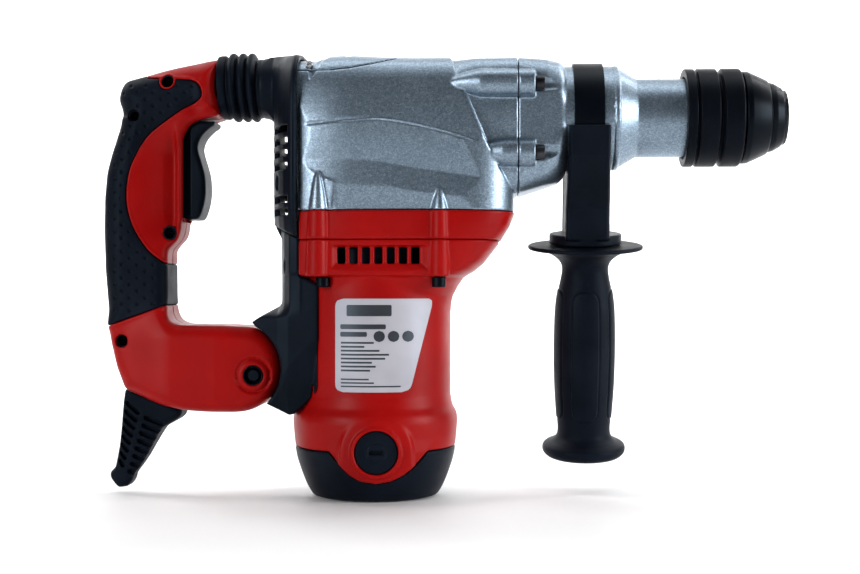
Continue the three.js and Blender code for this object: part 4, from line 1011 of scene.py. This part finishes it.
def make_pivot_bolt():
    f = Field((PIVOT_X - 7, -23, PIVOT_Z - 7), (PIVOT_X + 7, 23, PIVOT_Z + 7), 0.35)
    centre = (PIVOT_X, PIVOT_Z)
    shape = f.rod("y", centre, 3.1, -20, 20)
    across, up = np.abs(f.x - PIVOT_X), np.abs(f.z - PIVOT_Z)
    cross = join(np.maximum(across - 3.1, up - 0.7), np.maximum(up - 3.1, across - 0.7))
    for sign in (-1, 1):
        head = f.rod("y", centre, 4.9, *sorted((sign * 12.2, sign * 16)), 0.6)
        collar = f.rod("y", centre, 5.4, *sorted((sign * 12.2, sign * 22)))
        head = join(head, cut(collar, f.tube("y", centre, 4.9)))
        shape = join(shape, cut(head, np.maximum(cross, 14.2 - sign * f.y)))
    settle(solid_piece("pivot_bolt_heads", f, shape, BLACK), "rear_handle", "dark_steel", "pivot_bolt")


def turn_about_motor(piece):
    """Turns a mesh with the brush axis about the motor axis."""
    piece.data.transform(Matrix.Rotation(BRUSH_TURN, 4, "Z"))


def make_brush_caps():
    for side_name, sign in (("right", -1), ("left", 1)):
        f = Field((-12.5, 37.5 if sign > 0 else -46.5, 15), (12.5, 46.5 if sign > 0 else -37.5, 40), 0.4)
        around = f.tube("y", (0, BRUSH_Z), 0)
        out = sign * f.y
        shape = rounded(around - 11.4, np.abs(out - 43.2) - 2.3, 0.7)
        shape = join(shape, np.maximum(around - 6.8, np.abs(out - 40.5) - 2))
        shape = shape + 0.5 * np.clip(1 - np.abs(around - 5.0) / 0.55, 0, 1) * (out > 43)
        slot = np.maximum(np.maximum(np.abs(f.x) - 3.9, np.abs(f.z - BRUSH_Z) - 1.1), 43.2 - out)
        shape = cut(shape, slot)
        piece = solid_piece(f"brush_cap_{side_name}_disc", f, shape, BLACK)
        turn_about_motor(piece)
        settle(piece, "housing", "black_cover", f"brush_cap_{side_name}")


def curved_plate(name, outline, r_low, r_high, material, step=1.0):
    """A plate bent round the motor barrel's right side, from an outline in X and Z."""
    low, high = np.min(outline, axis=0), np.max(outline, axis=0)
    rows = []
    count = max(int((high[1] - low[1]) / step), 1)
    for z in np.linspace(low[1] + 0.01, high[1] - 0.01, count + 1):
        hits = []
        for (x0, z0), (x1, z1) in zip(outline, outline[1:] + outline[:1]):
            if (z0 > z) != (z1 > z):
                hits.append(x0 + (x1 - x0) * (z - z0) / (z1 - z0))
        rows.append((z, min(hits), max(hits)))
    columns = 24
    vertices, faces = [], []
    for r in (r_high, r_low):
        for z, left, right in rows:
            for x in np.linspace(left, right, columns):
                vertices.append((x * MM, -math.sqrt(r * r - x * x) * MM, z * MM))
    layer = len(rows) * columns
    for row in range(len(rows) - 1):
        for k in range(columns - 1):
            a = row * columns + k
            faces.append((a, a + 1, a + columns + 1, a + columns))
            faces.append((layer + a + columns, layer + a + columns + 1, layer + a + 1, layer + a))
    edge = list(range(columns))
    edge += [row * columns + columns - 1 for row in range(1, len(rows))]
    edge += [(len(rows) - 1) * columns + k for k in range(columns - 2, -1, -1)]
    edge += [row * columns for row in range(len(rows) - 2, 0, -1)]
    for a, b in zip(edge, edge[1:] + edge[:1]):
        faces.append((a, layer + a, layer + b, b))
    return listed_piece(name, vertices, faces, material, 40)


def make_nameplate():
    """A plain rating plate with generic bars and discs where print would be."""
    outline = eased([(-18.3, 59.1), (21.5, 59.1), (32.8, 105), (32.8, 108.8), (-18.3, 108.8)], 4.5, 6)
    plate = curved_plate("rating_plate", outline, MOTOR_R + 0.05, MOTOR_R + 0.55, PLATE)
    settle(plate, "housing", "label", "nameplate")
    bars = [(-12, 12, 99.5, 105.5), (-15.5, 9, 92.6, 95.2), (-15.5, -1, 88.6, 91.2)]
    bars += [(-15.5, width, 84.9 - 2.1 * k, 85.9 - 2.1 * k)
             for k, width in enumerate((3, -2, 6, 11, 9, 2, 4, 1))]
    bars += [(-15.5, width, 65.6 - 1.9 * k, 66.4 - 1.9 * k) for k, width in enumerate((0, 3, 17))]
    for k, (left, right, bottom, top) in enumerate(bars):
        corners = eased([(left, bottom), (right, bottom), (right, top), (left, top)], 0.4, 2)
        bar = curved_plate(f"plate_bar_{k + 1}", corners, MOTOR_R + 0.5, MOTOR_R + 0.62, INK, 0.6)
        settle(bar, "housing", "label")
    disc_z = 88.8
    for k, x in enumerate((5.5, 13, 20.5)):
        disc = curved_plate(f"plate_disc_{k + 1}", arc(x, disc_z, 3.0, 0, 337.5, 15), MOTOR_R + 0.5,
                            MOTOR_R + 0.62, INK, 0.5)
        settle(disc, "housing", "label")


# ------------------------------------------------------------------ side handle
def swing(piece):
    """Hangs a piece that was drawn straight down from the swung side handle."""
    about = Matrix.Translation((0, 0, BARREL_Z * MM))
    piece.data.transform(about @ Matrix.Rotation(SIDE_SWING, 4, "X") @ about.inverted())


def make_clamp():
    half = (BAND_HIGH.x - BAND_LOW.x) / 2
    band = [(29.05, SIDE_X - half), (30.3, SIDE_X - half), (30.3, SIDE_X + half), (29.05, SIDE_X + half)]
    piece = turned_piece("clamp_band_strap", eased(band, 0.4), "x", (0, 0, BARREL_Z), GLOSSY, 160)
    swing(piece)
    settle(piece, "side_handle", "dark_steel", "clamp_band")
    f = Field((SIDE_X - 22, -36, 136), (SIDE_X + 22, 36, 208), 0.6)
    width = np.interp(f.z, [138, 144, 160, 172, 190, 206], [20.2, 20.2, 21.2, 27, 34, 34.6])
    wide = np.interp(f.z, [138, 165, 188, 206], [12.4, 12.1, 11.3, 11.3])
    waist = 0.075 * np.maximum(width - np.abs(f.y) - 2, 0)
    outline = rounded(np.abs(f.x - SIDE_X) - wide + waist, np.abs(f.y) - width, 1.6)
    block = rounded(outline, np.maximum(142.5 - f.z, f.z - 206), 0.6)
    shoulder = smooth_step(np.abs(f.x - SIDE_X), 10.2, 10.8) * smooth_step(np.abs(f.y) - width, -2.5, -2)
    block = block + 0.5 * shoulder
    groove = np.abs(np.abs(f.y) - width + 6)
    block = block + 0.6 * np.clip(1 - groove / 0.8, 0, 1) * (np.abs(f.x - SIDE_X) > 10)
    foot = f.rod("z", (SIDE_X, 0), 20.2, 138.6, 144.6, 0.9)
    block = join(block, foot, 0.4)
    block = cut(block, f.rod("x", (0, BARREL_Z), 30.7, 90, 150))
    nut_room = f.rod("z", (SIDE_X, 0), 9.6, 168, 182)
    block = cut(block, join(nut_room, f.rod("z", (SIDE_X, 0), 4.5, 130, 180)))
    piece = solid_piece("clamp_block_body", f, block, BLACK)
    swing(piece)
    settle(piece, "side_handle", "chuck_black", "clamp_block")


GRIP_END = 16.6  # lowest point of the side grip before it is swung


def make_side_grip():
    f = Field((SIDE_X - 33, -33, GRIP_END), (SIDE_X + 33, 33, 139), 0.5)
    profile = [(GRIP_END, 19.4), (GRIP_END + 0.6, 21), (GRIP_END + 2.4, 22.9), (GRIP_END + 4.6, 23.6),
               (GRIP_END + 6.8, 23.1), (GRIP_END + 8.2, 21.2), (GRIP_END + 9.6, 18), (GRIP_END + 12, 15.6),
               (GRIP_END + 16, 14.9), (40, 15.4), (56, 16.5), (74, 17), (90, 16.9), (102.7, 16.4),
               (112, 15.2), (118, 13.9), (124.4, 13), (128.6, 14.2), (132, 17.8), (134, 22), (135.2, 27),
               (135.8, 31)]
    radius = height_at(profile, f.z)
    across = np.hypot(f.x - SIDE_X, f.y)
    angle = np.degrees(np.arctan2(f.x - SIDE_X, -f.y))
    stem = np.maximum(across - radius, np.maximum(GRIP_END - f.z, f.z - 136))
    disc = rounded(across - 32.2, np.abs(f.z - 136.9) - 1.2, 1.0)
    shape = join(stem, disc, 0.6)
    for centre, half_angle in ((-2, 27), (90, 37), (178, 27), (-90, 37)):
        off = np.abs((angle - centre + 180) % 360 - 180) * 0.29
        edge = rounded(off - half_angle * 0.29, np.abs(f.z - 76) - 37, 6)
        shape = shape - 0.4 * smooth_step(-edge, -0.15, 0.45) * (across < 19)
        shape = shape + 0.45 * np.clip(1 - np.abs(edge - 0.3) / 0.7, 0, 1) * (across < 19)
    parting = np.abs(f.x - SIDE_X) * (across > 8)
    shape = shape - 0.12 * np.clip(1 - parting / 0.5, 0, 1) * (across < 25)
    shape = rounded(shape, GRIP_END + 0.1 - f.z, 0.6)
    shape = cut(shape, f.rod("z", (SIDE_X, 0), 4.4, 54, 145))
    piece = solid_piece("side_grip_body", f, shape, RUBBER)
    swing(piece)
    settle(piece, "side_grip", "soft_rubber", "side_grip")


# ------------------------------------------------------------------ chuck and mode selector
def make_chuck():
    r = (BARREL_HIGH.z - BARREL_LOW.z) / 2
    rear, front = BARREL_LOW.x, BARREL_HIGH.x
    sleeve = [(22.6, rear), (r - 0.2, rear), (r, rear + 0.8), (r, 175.5), (25.0, 176.0), (25.0, 176.8),
              (r, 177.3), (r, 187.5), (24.4, 188.7), (24.4, 189.4), (r, 190.7), (r, front - 0.9),
              (r - 0.5, front), (15.6, front), (15.6, 183), (22.6, 181.5)]
    piece = turned_piece("chuck_sleeve_rings", eased(sleeve, 0.5), "x", (0, 0, BARREL_Z), SLEEVE, 144)
    settle(piece, "chuck_sleeve", "chuck_black", "chuck_sleeve")
    cap = [(15.3, 202), (25.0, 202), (25.4, 202.8), (25.3, 205.2), (23.4, 209.6), (20.5, 215.8),
           (19.3, 216.4), (19.3, 217), (18.7, 219.5), (16.4, 223.6), (14.6, 225), (11.5, 226),
           (8, 226.6), (7, 226.4), (7, 225), (14, 224)]
    piece = turned_piece("dust_cap_cone", eased(cap, 0.5), "x", (0, 0, BARREL_Z), GLOSSY, 144)
    settle(piece, "spindle", "soft_rubber", "dust_cap")


def make_mode_selector():
    f = Field((-9, 39, 171), (29, 55, 209), 0.5)
    shaft = (SELECTOR_X, SELECTOR_Z)
    around = f.tube("y", shaft, 0)
    shape = f.rod("y", shaft, 6, 40, 45)
    shape = join(shape, rounded(around - 17.2, np.abs(f.y - 45.5) - 2, 0.8))
    angle = np.arctan2(f.z - SELECTOR_Z, f.x - SELECTOR_X)
    shape = shape + 0.35 * np.maximum(np.cos(angle * 24), 0) * (around > 14)
    bar = rounded(np.abs(f.x - SELECTOR_X) - 15.4, np.abs(f.z - SELECTOR_Z) - 4.4, 4)
    bar = rounded(bar, np.abs(f.y - 49.5) - 4.3, 1.4)
    shape = join(shape, bar, 1.0)
    pointer = f.stripe((SELECTOR_X + 8, SELECTOR_Z), (SELECTOR_X + 13, SELECTOR_Z), 1.0)
    shape = cut(shape, np.maximum(pointer, 53 - f.y))
    settle(solid_piece("mode_selector_knob", f, shape, BLACK), "mode_selector", "black_cover",
           "mode_selector")


# ------------------------------------------------------------------ carried-over CAD nodes
def finish_cad_nodes():
    """Gives each CAD node the procedural material of its slot."""
    for entry in frame["record"]["subparts"]:
        mesh = frame["nodes"][entry["node"]].data
        mesh.materials.clear()
        mesh.materials.append(SLOT_MATERIALS[entry["material_slot"]])


# ------------------------------------------------------------------ stage, light and camera
def make_floor():
    """A pale floor that rises behind the tool in one sweep."""
    m = Nodes("pale_floor")
    cloud = m.remap(m.noise(3, 3), 0.3, 0.7, 0, 1)
    m.link(m.blend(cloud, (0.86, 0.865, 0.87), (0.90, 0.905, 0.91)), "Base Color")
    m.link(m.remap(m.noise(40, 4), 0.3, 0.7, 0.55, 0.7), "Roughness")
    m.link(m.bump(m.noise(300, 3), 0.1, 0.0002), "Normal")
    far, bend, height, half, near = 2.6, 0.8, 3.4, 4.0, -4.0
    profile = [(near, 0.0)]
    profile += [(far - bend + bend * math.sin(a), bend - bend * math.cos(a))
                for a in np.linspace(0, math.pi / 2, 17)]
    profile += [(far, height)]
    vertices = [(x, y, z - 0.0006) for y, z in profile for x in (-half, half)]
    faces = [(2 * k, 2 * k + 1, 2 * k + 3, 2 * k + 2) for k in range(len(profile) - 1)]
    mesh = bpy.data.meshes.new("floor")
    mesh.from_pydata(vertices, [], faces)
    mesh.shade_smooth()
    mesh_object("floor", mesh, m.material)


def make_light(name, place, target, width, height, power):
    """A white rectangular lamp of width by height metres, aimed at target, power in watts."""
    lamp = bpy.data.lights.new(name, "AREA")
    lamp.shape = "RECTANGLE"
    lamp.size = width
    lamp.size_y = height
    lamp.energy = power
    holder = bpy.data.objects.new(name, lamp)
    bpy.context.scene.collection.objects.link(holder)
    holder.location = place
    aim = Vector(target) - Vector(place)
    holder.rotation_mode = "QUATERNION"
    holder.rotation_quaternion = aim.to_track_quat("-Z", "Y")


def make_studio():
    centre = (0.04, 0, 0.12)
    make_light("left_box", (-1.6, -1.9, 0.68), centre, 1.1, 1.2, 36)
    make_light("right_box", (2.4, -0.7, 0.64), centre, 1.1, 1.2, 56)
    make_light("top_box", (0.05, 0.15, 1.3), centre, 1.3, 0.6, 4)
    make_light("ceiling", (0, 0.7, 2.6), (0, 0.7, 0), 3.6, 2.8, 30)
    make_light("backdrop_left", (-1.5, 1.0, 1.5), (-0.5, 2.6, 0.5), 1.2, 1.2, 62)
    make_light("backdrop_right", (1.6, 1.0, 1.5), (0.6, 2.6, 0.5), 1.2, 1.2, 62)
    world = bpy.data.worlds.new("studio")
    world.use_nodes = True
    world.node_tree.nodes["Background"].inputs["Color"].default_value = (0.9, 0.95, 1.0, 1)
    world.node_tree.nodes["Background"].inputs["Strength"].default_value = 0.04
    bpy.context.scene.world = world
    bpy.context.scene.view_settings.view_transform = "Standard"


def make_camera():
    """A level camera 0.78 m from the tool, slightly towards its front."""
    camera = bpy.data.cameras.new("camera")
    camera.sensor_width = 36
    camera.lens = 58.6
    holder = bpy.data.objects.new("camera", camera)
    bpy.context.scene.collection.objects.link(holder)
    place, target = Vector((0.0660, -0.7812, 0.115)), Vector((0.0305, 0, 0.115))
    holder.location = place
    holder.rotation_mode = "QUATERNION"
    holder.rotation_quaternion = (target - place).to_track_quat("-Z", "Y")
    camera.clip_start, camera.clip_end = 0.01, 20
    bpy.context.scene.camera = holder


finish_cad_nodes()
make_gear_housing()
make_front_housing()
make_flange()
make_motor_housing()
make_end_cap()
make_rear_cover()
make_lower_bracket()
make_handle_shells()
make_soft_grip()
make_trigger()
make_strain_relief()
make_bellows()
make_screws()
make_pivot_bolt()
make_brush_caps()
make_nameplate()
make_clamp()
make_side_grip()
make_chuck()
make_mode_selector()
make_floor()
make_studio()
make_camera()
